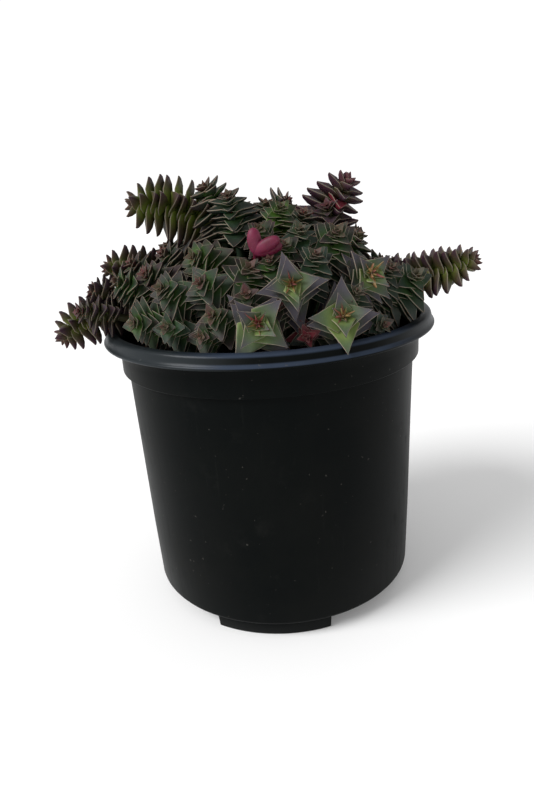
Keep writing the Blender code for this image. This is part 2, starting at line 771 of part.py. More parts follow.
def make_red_stem(red):
    """The bare stem with its thick red leaves, each a tapered oval on one side of the top."""
    bm, _, _ = make_core(red)
    node = finished("stem_red", bm, (0.25, 0.02, 0.07), 0.35)
    leaves = []
    for index, (length, heading, rise) in enumerate(RED_LEAVES):
        bm = bmesh.new()
        bmesh.ops.create_uvsphere(bm, u_segments=8, v_segments=6, radius=1)
        for vert in bm.verts:
            taper = 1 - RED_TAPER * max(0.0, vert.co.z) ** 2
            vert.co.x *= RED_WIDTH * taper
            vert.co.y *= RED_THICK * taper
            vert.co.z = (vert.co.z + RED_BASE) * length / (1 + RED_BASE)
        turn = Vector((0, 0, 1)).rotation_difference(direction(heading, rise))
        bmesh.ops.rotate(bm, cent=(0, 0, 0), matrix=turn.to_matrix(), verts=bm.verts)
        bmesh.ops.translate(bm, vec=red.tip, verts=bm.verts)
        leaves.append(helper(f"red_leaf_{index}", bm))
    apply_boolean(node, leaves, "UNION")
    return node


def all_shoots():
    """Every stem and side shoot, with the open rosettes and the arms first."""
    back, back_shoots = back_stems()
    stems = {entry[0]: Shoot(*entry) for entry in ROSETTES}
    stems |= {entry[0]: Shoot(*entry, kind="arm") for entry in ARMS}
    stems |= {entry[0]: Shoot(*entry) for entry in STACKS + back}
    shoots = [Shoot(*entry, stem=stems[entry[0]]) for entry in SHOOTS + back_shoots]
    return list(stems.values()) + shoots


def main():
    clear_scene()
    bpy.context.scene.unit_settings.system = "METRIC"
    bpy.context.scene.unit_settings.scale_length = 1.0
    shoots = all_shoots()
    red = Shoot("red", RED_TIP, 10, 70, 45, 1, 4)
    settle(shoots + [red])
    for shoot in shoots + [red]:
        shoot.lay_out()
    stems = [shoot for shoot in shoots if not shoot.stem]

    pot = make_pot()
    make_soil([tuple(stem.curve[0][:2]) for stem in stems + [red]])
    red_node = make_red_stem(red)
    growth = Growth(shoots, [solid_tree(pot), solid_tree(red_node)])
    growth.run(len(ROSETTES) + len(ARMS))
    for stem in stems:
        own = [shoot for shoot in shoots if shoot.stem is stem]
        finished(f"stem_{stem.name}", make_stem(stem, own), leaf_colour(stem.name), 0.6)
    leaves = sum(len(shoot.leaves) for shoot in shoots)
    room = 2 * sum(len(shoot.seats) for shoot in shoots)
    print(len(stems) + 1, "stems,", len(shoots) + 1, "tips and", leaves, "leaves of", room)


main()
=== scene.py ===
# %% [markdown]
# # A potted red pagoda crassula
# The object is a small succulent in a black nursery pot. Its stems carry crossed pairs of pointed
# leaves, stacked so closely that each stem looks like a little pagoda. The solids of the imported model
# give the place of every stem. This script keeps those places and puts a finer shape over each one:
# first the camera and the studio, then the pot and the soil, and then the plant.

# %% Load the fixed frame
import math
import random

import bmesh
import bpy
import numpy as np
from mathutils import Matrix, Vector
from mathutils.bvhtree import BVHTree


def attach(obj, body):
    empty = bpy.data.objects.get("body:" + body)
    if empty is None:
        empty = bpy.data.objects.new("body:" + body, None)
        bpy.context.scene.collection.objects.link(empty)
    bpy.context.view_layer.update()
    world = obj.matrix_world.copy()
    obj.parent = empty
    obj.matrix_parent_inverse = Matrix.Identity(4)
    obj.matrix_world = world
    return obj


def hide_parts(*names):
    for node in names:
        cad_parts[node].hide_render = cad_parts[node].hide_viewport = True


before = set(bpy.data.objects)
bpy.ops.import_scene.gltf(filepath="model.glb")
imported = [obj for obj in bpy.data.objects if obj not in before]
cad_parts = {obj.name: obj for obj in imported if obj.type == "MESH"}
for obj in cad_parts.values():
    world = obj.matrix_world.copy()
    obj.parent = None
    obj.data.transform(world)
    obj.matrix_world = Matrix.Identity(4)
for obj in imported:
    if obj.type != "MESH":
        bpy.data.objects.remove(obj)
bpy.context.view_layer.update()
MM = 0.001


# %% [markdown]
# ## The camera
# The photograph looks down on the pot at about nineteen degrees, from only a third of a metre away, so
# the pot narrows strongly towards its foot. The camera was also held a little crooked. Three turns
# say this plainly: the heading about Z, the tilt about X, and a small roll about the camera's own axis.

# %% Place the camera
HEADING = math.radians(0.611)
DOWNWARD = math.radians(19.133)
ROLL = math.radians(-4.119)


def linked(name, data):
    """Puts a camera, a light or a mesh into the scene as an object."""
    made = bpy.data.objects.new(name, data)
    bpy.context.scene.collection.objects.link(made)
    return made


camera_data = bpy.data.cameras.new("camera")
camera_data.lens = 28.8
camera_data.sensor_width = 36
camera_data.clip_start = 0.01
camera = linked("camera", camera_data)
camera.matrix_world = (
    Matrix.Translation((0, -0.32296, 0.21086))
    @ Matrix.Rotation(HEADING, 4, "Z")
    @ Matrix.Rotation(math.pi / 2 - DOWNWARD, 4, "X")
    @ Matrix.Rotation(ROLL, 4, "Z")
)
bpy.context.scene.camera = camera
print("the camera looks down by", round(math.degrees(DOWNWARD), 1), "degrees")

# %% [markdown]
# ## Numbers that flow through a material
# A material is a graph of small nodes. Adding a Math node by hand for every plus sign hides what is
# meant, so a small class holds a node's output, and Python's own signs add the Math nodes. Every other
# node comes from one method, which takes the node's type, its settings and its inputs.

# %% Wrap sockets and nodes
class Value:
    """An output of a node, which Python's signs can be used on."""

    def __init__(self, finish, socket):
        self.finish = finish
        self.socket = socket

    def math(self, operation, first, second=0.0):
        return self.finish.node("ShaderNodeMath", {"operation": operation}, {0: first, 1: second})

    def __add__(self, other):
        return self.math("ADD", self, other)

    def __sub__(self, other):
        return self.math("SUBTRACT", self, other)

    def __rsub__(self, other):
        return self.math("SUBTRACT", other, self)

    def __mul__(self, other):
        return self.math("MULTIPLY", self, other)

    def __abs__(self):
        return self.math("ABSOLUTE", self)

    __radd__ = __add__
    __rmul__ = __mul__

    def between(self, low, high):
        """0 below low, 1 above high, and a soft step between. With low above high it steps down."""
        settings = {"interpolation_type": "SMOOTHSTEP"}
        return self.finish.node("ShaderNodeMapRange", settings, {0: self, 1: low, 2: high})


class Finish:
    """A material whose nodes are all made by one method."""

    def __init__(self, name, constants):
        self.material = bpy.data.materials.new(name)
        self.material.use_nodes = True
        self.tree = self.material.node_tree
        self.shader = self.tree.nodes["Principled BSDF"]
        for socket, value in constants.items():
            self.shader.inputs[socket].default_value = value

    def node(self, kind, settings=None, inputs=None, output=0):
        """Any node: its settings are set first, then each input's value or link."""
        made = self.tree.nodes.new(kind)
        for name, value in (settings or {}).items():
            setattr(made, name, value)
        for key, value in (inputs or {}).items():
            if isinstance(value, Value):
                self.tree.links.new(value.socket, made.inputs[key])
            else:
                made.inputs[key].default_value = value
        return Value(self, made.outputs[output])

    def mix(self, factor, first, second):
        """A colour between two others."""
        return self.node("ShaderNodeMix", {"data_type": "RGBA"}, {0: factor, 6: first, 7: second}, 2)

    def noise(self, place, scale, detail=3.0, roughness=0.55):
        inputs = {"Vector": place, "Scale": scale, "Detail": detail, "Roughness": roughness}
        return self.node("ShaderNodeTexNoise", None, inputs)

    def own_place(self):
        """The place on the piece, in metres, which stays with it when it moves."""
        return self.node("ShaderNodeTexCoord", None, None, 3)

    def parts(self, place):
        """The X, Y and Z of a place or a UV map."""
        split = self.node("ShaderNodeSeparateXYZ", None, {0: place})
        return [Value(self, socket) for socket in split.socket.node.outputs]

    def feed(self, socket, value):
        self.tree.links.new(value.socket, self.shader.inputs[socket])

    def bump(self, height, distance, strength):
        inputs = {"Height": height, "Distance": distance, "Strength": strength}
        self.feed("Normal", self.node("ShaderNodeBump", None, inputs))


def colour(red, green, blue):
    return (red, green, blue, 1.0)


# %% [markdown]
# ## Turning a bmesh into a piece
# Every piece below is modelled in millimetres with bmesh operators, and then made an object in metres.
# The object stays at the origin, so its place is in its mesh, and it rides on the model's only body.

# %% Finish a piece
def added(name, bm):
    """Puts a bmesh in millimetres into the scene as an object in metres."""
    bmesh.ops.scale(bm, vec=(MM, MM, MM), verts=bm.verts)
    mesh = bpy.data.meshes.new(name)
    bm.to_mesh(mesh)
    bm.free()
    return linked(name, mesh)


def piece(name, bm, finish, replaced):
    """Makes a piece that stands for one solid."""
    made = added(name, bm)
    made.data.materials.append(finish.material)
    made.data.shade_smooth()
    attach(made, "root")
    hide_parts(replaced)
    return made


def sharp_over(made, angle):
    """Keeps the edges crisp at which two faces meet at more than an angle in degrees."""
    made.data.shade_smooth()
    made.data.set_sharp_from_angle(angle=math.radians(angle))


# %% [markdown]
# ## The studio
# The photograph's background is plain white with one soft shadow that falls to the right. A large pale
# floor that glows very faintly and one big soft light from the left do the same. The world is white where
# the camera can see it, near the horizon, and dimmer overhead, so that the dark leaves keep their depth.

# %% Lay the floor and hang the lights
FLOOR_HALF = 6000
WINDOW_AT = Vector((-1.5, -0.75, 1.35))
# Where up the sky the white begins to dim and where it is dimmest, and both strengths.
SKY = {"From Min": 0.25, "From Max": 0.55, "To Min": 1.05, "To Max": 0.5}

floor_bm = bmesh.new()
bmesh.ops.create_grid(floor_bm, x_segments=1, y_segments=1, size=FLOOR_HALF)
floor = added("floor", floor_bm)
paper = Finish("white paper", {
    "Base Color": colour(0.88, 0.88, 0.88), "Roughness": 0.9, "Specular IOR Level": 0.0,
    "Emission Color": colour(1, 1, 1), "Emission Strength": 0.09,
})
floor.data.materials.append(paper.material)

# A far light that shines on the origin, wide enough for soft shadows.
window_data = bpy.data.lights.new("window", "SUN")
window_data.angle = math.radians(34)
window_data.energy = 3.0
window = linked("window", window_data)
window.location = WINDOW_AT
window.rotation_euler = (-WINDOW_AT).to_track_quat("-Z", "Y").to_euler()

world = bpy.data.worlds.new("studio")
world.use_nodes = True
nodes = world.node_tree.nodes
links = world.node_tree.links
where = nodes.new("ShaderNodeTexCoord")
split = nodes.new("ShaderNodeSeparateXYZ")
dimmer = nodes.new("ShaderNodeMapRange")
for socket, value in SKY.items():
    dimmer.inputs[socket].default_value = value
links.new(where.outputs["Generated"], split.inputs[0])
links.new(split.outputs["Z"], dimmer.inputs["Value"])
links.new(dimmer.outputs[0], nodes["Background"].inputs["Strength"])
nodes["Background"].inputs["Color"].default_value = colour(1, 1, 1)
bpy.context.scene.world = world
bpy.context.scene.view_settings.view_transform = "Standard"
print("one window light in a white room")

# %% [markdown]
# ## The pot's shape
# A nursery pot is one thin wall of moulded plastic. Its section runs from the middle of the base, out to
# the rounded corner, up the tapered wall, over a ledge to the straight collar, and round the rim with its
# thin bead and flat top. A spin turns that one line, which reads like a drawing, into the whole pot.

# %% Turn the pot
POT_STEPS = 144
PLATE_Z = 8.0
FULL_TURN = 2 * math.pi


def turned(section, steps, angle=FULL_TURN, start=0.0):
    """Turns a line of (radius, height) points about Z. A part turn starts from a closed section."""
    bm = bmesh.new()
    spoke = Vector((math.cos(start), math.sin(start), 0))
    points = [bm.verts.new(spoke * radius + Vector((0, 0, height))) for radius, height in section]
    whole = angle == FULL_TURN
    if whole:
        for pair in zip(points, points[1:]):
            bm.edges.new(pair)
    else:
        bm.faces.new(points)
    bmesh.ops.spin(
        bm, geom=bm.verts[:] + bm.edges[:] + bm.faces[:], cent=(0, 0, 0), axis=(0, 0, 1),
        angle=angle, steps=steps, use_merge=whole, use_duplicate=False,
    )
    bmesh.ops.remove_doubles(bm, verts=bm.verts, dist=1e-4)
    bmesh.ops.recalc_face_normals(bm, faces=bm.faces)
    return bm


def rounded(corner_x, corner_z, radius, first, last, count=5):
    """Points round a corner, from one angle to another in degrees."""
    points = []
    for index in range(count):
        angle = math.radians(first + (last - first) * index / (count - 1))
        points.append((corner_x + radius * math.cos(angle), corner_z + radius * math.sin(angle)))
    return points


base = [(0, PLATE_Z), (40, PLATE_Z)] + rounded(66.9, PLATE_Z + 2.2, 2.2, -90, -4)
wall = [(70.2, 40), (71.2, 80), (72.4, 123.4)]
ledge = rounded(72.6, 124.4, 0.35, 180, 100, 3) + rounded(74.6, 125.8, 0.6, -60, 0, 4)
collar = [(75.2, 133), (75.2, 138.2), (75.7, 138.9), (80.2, 139.0)]
bead = rounded(81.6, 140.3, 0.9, -80, 60, 7) + [(81.6, 141.6), (81.3, 142.7)]
rim_top = rounded(79.1, 143.9, 1.9, 5, 85, 6) + rounded(77.2, 144.3, 1.5, 90, 175, 6)
inner_rim = [(74.9, 142.2), (73.8, 140.4), (73.6, 127.4), (72.4, 126.2), (70.8, 124.8)]
inside = [(68.6, 60), (67.2, 12.0), (66.0, 9.8), (0, PLATE_Z + 1.6)]
pot_section = base + wall + ledge + collar + bead + rim_top + inner_rim + inside
pot_bm = turned(pot_section, POT_STEPS)
print("pot wall:", len(pot_bm.faces), "faces")

# %% [markdown]
# Under the base plate stand three feet with a hollow in each, and a drain hole in each notch between
# them. The feet are short turned arcs. They are joined and the hollows and holes are cut with Boolean
# modifiers, because their walls meet the turned shape at a slant, where an inset would not follow it.

# %% Add the feet and cut the drain holes
FEET = 3
FOOT_SPAN = math.radians(50)
FOOT_TURN = math.radians(-6.5)
FOOT_IN_R = 50
HOLLOW_SPAN = FOOT_SPAN - 0.07
HOLLOW_IN_R, HOLLOW_OUT_R, HOLLOW_Z = 51.8, 63, PLATE_Z - 1.6
DRAIN_R = 4.5
DRAIN_AT_R = 57


def with_booleans(target, steps):
    """Applies each (operation, helper) to the target, and removes the helpers."""
    for operation, helper in steps:
        modifier = target.modifiers.new(operation.lower(), "BOOLEAN")
        modifier.operation = operation
        modifier.object = helper
    graph = bpy.context.evaluated_depsgraph_get()
    cut = bpy.data.meshes.new_from_object(target.evaluated_get(graph))
    target.modifiers.clear()
    target.data = cut
    for _, helper in steps:
        bpy.data.objects.remove(helper)


def arc(name, section, middle, span):
    """A short turned piece, given the angle of its middle and how far it reaches round."""
    return added(name, turned(section, 24, span, middle - span / 2))


def drain(angle):
    """The plug of a drain hole."""
    bm = bmesh.new()
    bmesh.ops.create_cone(bm, cap_ends=True, segments=32, radius1=DRAIN_R, radius2=DRAIN_R, depth=8)
    spot = Vector((DRAIN_AT_R * math.cos(angle), DRAIN_AT_R * math.sin(angle), PLATE_Z))
    bmesh.ops.translate(bm, vec=spot, verts=bm.verts)
    return added("drain", bm)


def pot_steps():
    """Adds the feet, and then cuts the hollows and the drain holes."""
    foot_top = PLATE_Z + 0.8
    foot = [(FOOT_IN_R, 0), (64.8, 0), (65.4, 0.6), (66.6, foot_top), (FOOT_IN_R - 1, foot_top)]
    hollow = [(HOLLOW_IN_R, -1), (HOLLOW_OUT_R, -1), (HOLLOW_OUT_R, HOLLOW_Z), (HOLLOW_IN_R, HOLLOW_Z)]
    middles = [-math.pi / 2 + FOOT_TURN + index * FULL_TURN / FEET for index in range(FEET)]
    steps = [("UNION", arc("foot", foot, middle, FOOT_SPAN)) for middle in middles]
    for middle in middles:
        steps.append(("DIFFERENCE", arc("hollow", hollow, middle, HOLLOW_SPAN)))
        steps.append(("DIFFERENCE", drain(middle + math.pi / FEET)))
    return steps


# %% [markdown]
# ## The pot's finish
# Black polypropylene is never quite black: the mould leaves a soft satin that is duller in patches, long
# handling leaves faint upright scuffs, and a few grains of dust stay on the wall. Noise stretched along
# Z gives the scuffs, and a sharper noise with a high threshold the specks. The rim is handled most, so it
# has some polish at the sides. Light is also painted on the rim: a faint blue at the front of its bead and
# top is a painted reflection of the sky, and a lighter grey on its left is a painted sheen where the light
# falls. The place on the pot chooses these parts, so nothing is painted by hand.

# %% Make the black plastic
BLACK = colour(0.0014, 0.0022, 0.0022)
SATIN = colour(0.0030, 0.0036, 0.0033)
SCUFF = colour(0.012, 0.013, 0.012)
DUST = colour(0.014, 0.014, 0.013)
# The next two colours are painted light on the rim: a painted sheen on its left, and a painted blue
# reflection of the sky on its bead and top.
PAINTED_SHEEN_GREY = colour(0.021, 0.024, 0.025)
PAINTED_SKY_BLUE = colour(0.047, 0.064, 0.100)
SPECK = colour(0.09, 0.085, 0.075)
# Heights on the rim, in metres as the Object coordinates are.
UNDER_RIM = 0.1385
BEAD_LOW = 0.1402
BEAD_HIGH = 0.1424
RIM_TOP = 0.1452


def pot_finish():
    finish = Finish("black nursery plastic", {
        "IOR": 1.5, "Specular IOR Level": 0.04,
        "Coat Roughness": 0.22, "Coat IOR": 1.35, "Coat Tint": colour(0.6, 0.8, 1.0),
    })
    place = finish.own_place()
    across, depth, height = finish.parts(place)
    stretched = finish.node("ShaderNodeMapping", None, {"Vector": place, "Scale": (1, 1, 0.08)})
    patches = finish.noise(place, 22.0, 4)
    scuffs = finish.noise(stretched, 420.0, 3, 0.7)
    specks = finish.noise(place, 520.0, 2, 0.5).between(0.735, 0.76)
    dust = finish.noise(place, 60.0, 5, 0.7).between(0.56, 0.78)
    body = finish.mix(patches.between(0.3, 0.7), BLACK, SATIN)
    body = finish.mix(scuffs.between(0.6, 0.85) * 0.35, body, SCUFF)
    body = finish.mix(dust * 0.25, body, DUST)
    # Painted light: the rim's left is painted a lighter grey, a painted sheen on the side the light comes
    # from, and the middle of its bead and its top are painted bluish, a painted reflection of the sky.
    left = height.between(BEAD_LOW - 0.001, BEAD_LOW) * across.between(-0.005, -0.04)
    body = finish.mix(left * 0.7, body, PAINTED_SHEEN_GREY)
    bead = height.between(BEAD_LOW, BEAD_LOW + 0.0006) * height.between(BEAD_HIGH, BEAD_HIGH - 0.0008)
    middle = across.between(-0.045, -0.01) * across.between(0.07, 0.04)
    painted_sky_reflection = (bead + height.between(RIM_TOP - 0.001, RIM_TOP)) * middle * (0.3 + patches)
    body = finish.mix(painted_sky_reflection * 0.7, body, PAINTED_SKY_BLUE)
    finish.feed("Base Color", finish.mix(specks * 0.35, body, SPECK))
    finish.feed("Roughness", 0.34 + patches * 0.14 + dust * 0.15 + scuffs.between(0.5, 0.8) * 0.08)
    front = depth.between(-0.03, -0.075)
    ends = across.between(0.0, -0.04) + across.between(0.04, 0.065)
    polish = (front * (0.1 + patches * 0.4) + 0.12) * ends
    finish.feed("Coat Weight", height.between(UNDER_RIM, BEAD_LOW) * polish)
    finish.bump(patches * 0.5 + finish.noise(place, 900.0, 2) * 0.08, 0.0003, 0.35)
    return finish


pot = piece("nursery_pot", pot_bm, pot_finish(), "pot")
with_booleans(pot, pot_steps())
sharp_over(pot, 38)
print("nursery_pot:", len(pot.data.polygons), "faces")

# %% [markdown]
# ## The soil
# Between the stems the potting mix shows only as dark crumbs. A plane would do from above, but a low
# turned mound is closed and sound from every side. Crumbs of bark and grit are scattered over it, each a
# low icosphere, squashed and turned.

# %% Fill the pot with soil
SOIL_SEED = 3
SOIL_R = 73.7
SOIL_EDGE_Z = 130.0
SOIL_MID_Z = 133.5
CRUMBS = 700
CRUMBS_WITHIN = 71


def soil_height(x, y):
    """The soil's top, which is a low mound with shallow lumps."""
    r = math.hypot(x, y) / SOIL_R
    mound = SOIL_EDGE_Z + (SOIL_MID_Z - SOIL_EDGE_Z) * (1 - r * r)
    return mound + 0.5 * math.sin(x * 0.21 + 1) * math.cos(y * 0.17)


def soil_mound():
    section = [(0, 10.0), (65.0, 10.0), (66.9, 12.0), (70.3, 124.6), (72.9, 128.2), (73.1, SOIL_EDGE_Z)]
    section += [(radius, SOIL_EDGE_Z + 1) for radius in (68, 60, 50, 40, 30, 20, 10)]
    section += [(0, SOIL_MID_Z)]
    bm = turned(section, 72)
    draw = random.Random(SOIL_SEED)
    for vert in bm.verts:
        if vert.co.z >= SOIL_EDGE_Z - 0.01:
            vert.co.z = soil_height(vert.co.x, vert.co.y) + draw.uniform(-0.5, 0.5)
    return bm


def scatter_crumbs(bm):
    draw = random.Random(SOIL_SEED)
    for _ in range(CRUMBS):
        radius = CRUMBS_WITHIN * math.sqrt(draw.random())
        angle = draw.uniform(0, FULL_TURN)
        x, y = radius * math.cos(angle), radius * math.sin(angle)
        size = draw.uniform(0.5, 1.7)
        turn = Matrix.Rotation(draw.uniform(0, math.pi), 4, Vector((draw.random(), draw.random(), 1)))
        squash = Matrix.Diagonal((size * 1.5, size, size * 0.7, 1))
        place = Matrix.Translation((x, y, soil_height(x, y) + 0.2 * size))
        bmesh.ops.create_icosphere(bm, subdivisions=1, radius=1, matrix=place @ turn @ squash)


def soil_finish():
    finish = Finish("potting mix", {"Roughness": 0.95, "Specular IOR Level": 0.2})
    place = finish.own_place()
    grain = finish.noise(place, 260.0, 5, 0.7)
    grit = finish.noise(place, 700.0, 2).between(0.62, 0.7)
    peat = finish.mix(grain.between(0.35, 0.7), colour(0.012, 0.009, 0.007), colour(0.05, 0.034, 0.022))
    finish.feed("Base Color", finish.mix(grit * 0.7, peat, colour(0.16, 0.13, 0.10)))
    finish.bump(grain, 0.001, 0.8)
    return finish


soil_bm = soil_mound()
scatter_crumbs(soil_bm)
soil = piece("potting_mix", soil_bm, soil_finish(), "soil")
sharp_over(soil, 50)
print("potting_mix:", len(soil.data.polygons), "faces")

# %% [markdown]
# ## Where the stems grow
# Each stem is a smooth curve of four control points, from its hole in the soil to its tip. Its name, tip
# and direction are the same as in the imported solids, so that each finer stem lies where its solid is.
# A heading of 0 points to the front and 90 to the right, and a rise of 90 points straight up.

# %% List the stems
# Each line: name, tip in mm, heading, rise and turn in degrees, leafy length, and a leaf's length.
ROSETTES = [
    ("front_left", (-4, -77, 157), 1, 13, 48, 14, 15.5),
    ("front_middle", (10, -72, 171), -3, 12, 12, 14, 14),
    ("front_right", (30, -72, 157), 0, 28, 5, 14, 15.5),
    ("right_high", (44, -58, 171), 18, 18, 35, 14, 12.5),
]
ARMS = [
    ("arm_left_high", (-57.5, -14, 203), -84, 5, 24, 42, 15),
    ("arm_left_low", (-98, -22, 145.5), -98, -38, 20, 14, 12),
    ("arm_left_mid", (-75, -6, 174.5), -95, 12, 15, 22, 12.5),
    ("arm_right", (97, -20, 168), 84, 22, 45, 30, 13),
    ("arm_top_right", (41, -6, 206), 64, 50, 40, 13, 14),
]
STACKS = [
    ("middle_square", (-6, -60, 177), -5, 48, 45, 18, 15),
    ("right_square", (31, -50, 188), 10, 48, 30, 18, 15),
    ("right_fan", (67, -38, 166), 20, 48, 10, 18, 15.5),
    ("left_green", (-30, -50, 182), -50, 15, 30, 18, 14),
    ("left_inner", (-27, -63, 173), -38, 30, 40, 16, 13),
    ("rim_left", (-58, -53, 156), -38, 10, 10, 14, 12.5),
    ("rim_star", (-43, -61, 155), -15, 17, 0, 12, 11.5),
    ("left_rose", (-44, -56, 171), -42, 35, 20, 14, 12.5),
    ("left_brown", (-53, -38, 175), -52, 35, 45, 14, 13),
    ("left_dark", (-46, -25, 182), -70, 35, 30, 16, 13),
    ("left_fold", (-67, -35, 172), -70, 25, 20, 16, 13),
    ("left_bend", (-81, -24, 167), -78, 20, 40, 16, 13),
    ("rim_inner_left", (-23, -68, 160), -30, 30, 25, 14, 12.5),
    ("front_red", (4, -67, 162), 15, 40, 0, 12, 12),
    ("middle_lines", (9, -57, 185), 8, 55, 45, 12, 12),
    ("middle_blue", (16, -50, 190), 10, 60, 10, 14, 12),
    ("rim_low_right", (49, -59, 149), 35, 15, 10, 11, 11),
    ("right_grey", (55, -44, 171), 25, 50, 20, 12, 12),
    ("right_dark", (67, -18, 165), 60, 50, 0, 14, 12),
    ("right_edge", (44, -27, 184), 65, 48, 30, 16, 12.5),
    ("top_small", (-14, -29, 205), -20, 50, 20, 14, 12),
    ("top_yellow", (9, -38, 199), 15, 48, 30, 14, 12),
    ("top_layers", (19, -26, 195), 10, 72, 45, 18, 13.5),
    ("top_fins", (14, 4, 200), 78, 14, 0, 20, 12),
    ("top_red", (31, -12, 197), -30, 45, 25, 16, 12.5),
    ("top_left", (-25, -18, 209), -60, 50, 10, 16, 15),
    ("top_middle", (-10, 4, 200), -30, 80, 30, 14, 14),
]
SHOOTS = [
    ("left_bend", (-85, -38, 160), -55, 12, 20, 11, 11),
    ("rim_inner_left", (-28, -69, 152), -25, 12, 0, 11, 10.5),
    ("front_red", (-8, -68, 168), -10, 45, 15, 11, 11),
    ("middle_lines", (2, -62, 180), 0, 50, 20, 11, 11),
    ("middle_blue", (21, -63, 181), 20, 55, 30, 12, 11.5),
    ("top_yellow", (-1, -55, 192), 0, 35, 45, 9, 9.5),
    ("rim_low_right", (15, -70, 149), -20, 20, 20, 9, 8.5),
    ("right_grey", (37, -64, 165), 20, 35, 45, 11, 11.5),
    ("right_dark", (78, -8, 158), 80, 20, 25, 14, 13),
    ("left_brown", (-62, -20, 178), -65, 45, 10, 14, 13),
    ("left_dark", (-70, 6, 168), -92, 20, 40, 14, 13.5),
    ("top_middle", (3, -10, 200), 10, 70, 0, 10, 12),
    ("top_fins", (12, 22, 195), 150, 70, 20, 10, 14),
]
RED_TIP = (-3, -60, 183)
print(len(ROSETTES), "open rosettes,", len(ARMS), "long arms and", len(STACKS), "stacks at the front")

# %% [markdown]
# The photograph doesn't show the back. The same kind of stem fills it in rings, and every second one is a
# side shoot of its neighbour, as in the solids. The draw is seeded, so it is the same on each run.

# %% Fill the back in rings
BACK_RINGS = [
    (78, 152, 98, 262, 13, 10, 15, 14.5),
    (69, 163, 98, 262, 11, 38, 13, 14.5),
    (47, 185, 90, 268, 8, 55, 13, 14.5),
    (26, 195, 110, 250, 4, 72, 12, 14.5),
]
BACK_JITTER = 2.0
BACK_SEED = 7


def direction(heading, rise):
    """A unit vector: heading 0 is to the front, 90 to the right."""
    h, e = math.radians(heading), math.radians(rise)
    return Vector((math.sin(h) * math.cos(e), -math.cos(h) * math.cos(e), math.sin(e)))


def back_stems():
    draw = random.Random(BACK_SEED)
    stems = []
    shoots = []
    for ring, (radius, height, first, last, count, rise, leafy, length) in enumerate(BACK_RINGS):
        for index in range(count):
            heading = first + (last - first) * index / (count - 1) + draw.uniform(-2, 2)
            tip = direction(heading, 0) * (radius + draw.uniform(-BACK_JITTER, BACK_JITTER))
            tip.z = height + draw.uniform(-BACK_JITTER, BACK_JITTER)
            turn = draw.uniform(0, 90)
            lean = rise + draw.uniform(-8, 8)
            values = (tuple(tip), heading, lean, turn, leafy, length)
            if index % 2 == 0:
                name = f"back_{ring + 1}_{index // 2 + 1}"
                stems.append((name, *values))
            else:
                shoots.append((name, *values))
    return stems, shoots


# %% [markdown]
# ## The curve of a stem
# A stem rises from the soil, leans out and ends in the direction of its tip. Left alone, the curves would
# run through each other, so for a number of rounds each point that is too near another stem is pushed
# away from it. The tips hardly move, and the bare lower parts find their own way between each other.

# %% Draw the curves and part them
CLEAR_BARE = 6.0
CLEAR_LEAFY = 8.5
HOLE_RING = 52.0
HOLE_ROOM = 8.0
HOLE_SLACK = 6.0
FORK_AT = 0.1
FORK_POINTS = 4
SETTLE_POINTS = 14
SETTLE_ROUNDS = 80
SETTLE_SHARE = 0.3
# How freely each of the four control points moves, from the hole to the tip.
FREEDOM = (1.0, 1.0, 0.35, 0.0)
FAR_OFF = 1e3


def by_kind(rosette, arm, stack):
    """One value for each kind of stem."""
    return {"rosette": rosette, "arm": arm, "stack": stack}


HOLE_SHARE = by_kind(0.5, 0.25, 0.5)
HANDLE = by_kind(1.0, 1.3, 1.0)
ROOT_RISE = by_kind(0.3, 0.38, 0.3)


def bernstein(t):
    """The weights of a curve's four control points at places t from 0 to 1."""
    t = np.asarray(t, dtype=float)[:, None]
    s = 1 - t
    return np.hstack([s**3, 3 * s * s * t, 3 * s * t * t, t**3])


class Shoot:
    """A leafy stem from its hole in the soil to its tip, or a side shoot from the stem it forks off."""

    def __init__(self, name, tip, heading, rise, turn, leafy, length, kind, stem=None):
        self.name = name
        self.tint = name + "_side" if stem else name
        self.kind = kind
        self.tip = Vector(tip)
        self.turn = math.radians(turn)
        self.leafy = leafy
        self.length = length
        self.stem = stem
        self.leaves = []
        outward = Vector((self.tip.x, self.tip.y, 0))
        foot = outward * HOLE_SHARE[kind]
        foot.length = min(foot.length, HOLE_RING)
        foot.z = SOIL_MID_Z + 1
        first_rise = ROOT_RISE[kind] * (self.tip - foot).length
        lean = outward.normalized() * 0.35
        self.curve = np.array([
            foot,
            foot + (Vector((0, 0, 1)) + lean) * first_rise,
            self.tip - direction(heading, rise) * (leafy * HANDLE[kind] + 4),
            self.tip,
        ], dtype=float)
        if stem:
            self.curve[0] = stem.fork()

    def fork(self):
        return (bernstein([FORK_AT]) @ self.curve)[0]


def parting(points, want, added_distance):
    """How far each point moves away from all that are nearer than they want to be."""
    apart = points[:, None] - points[None, :]
    distance = np.linalg.norm(apart, axis=2) + added_distance
    short = np.maximum(0, want - distance)
    return (apart * (short / distance)[:, :, None]).sum(axis=1) * SETTLE_SHARE


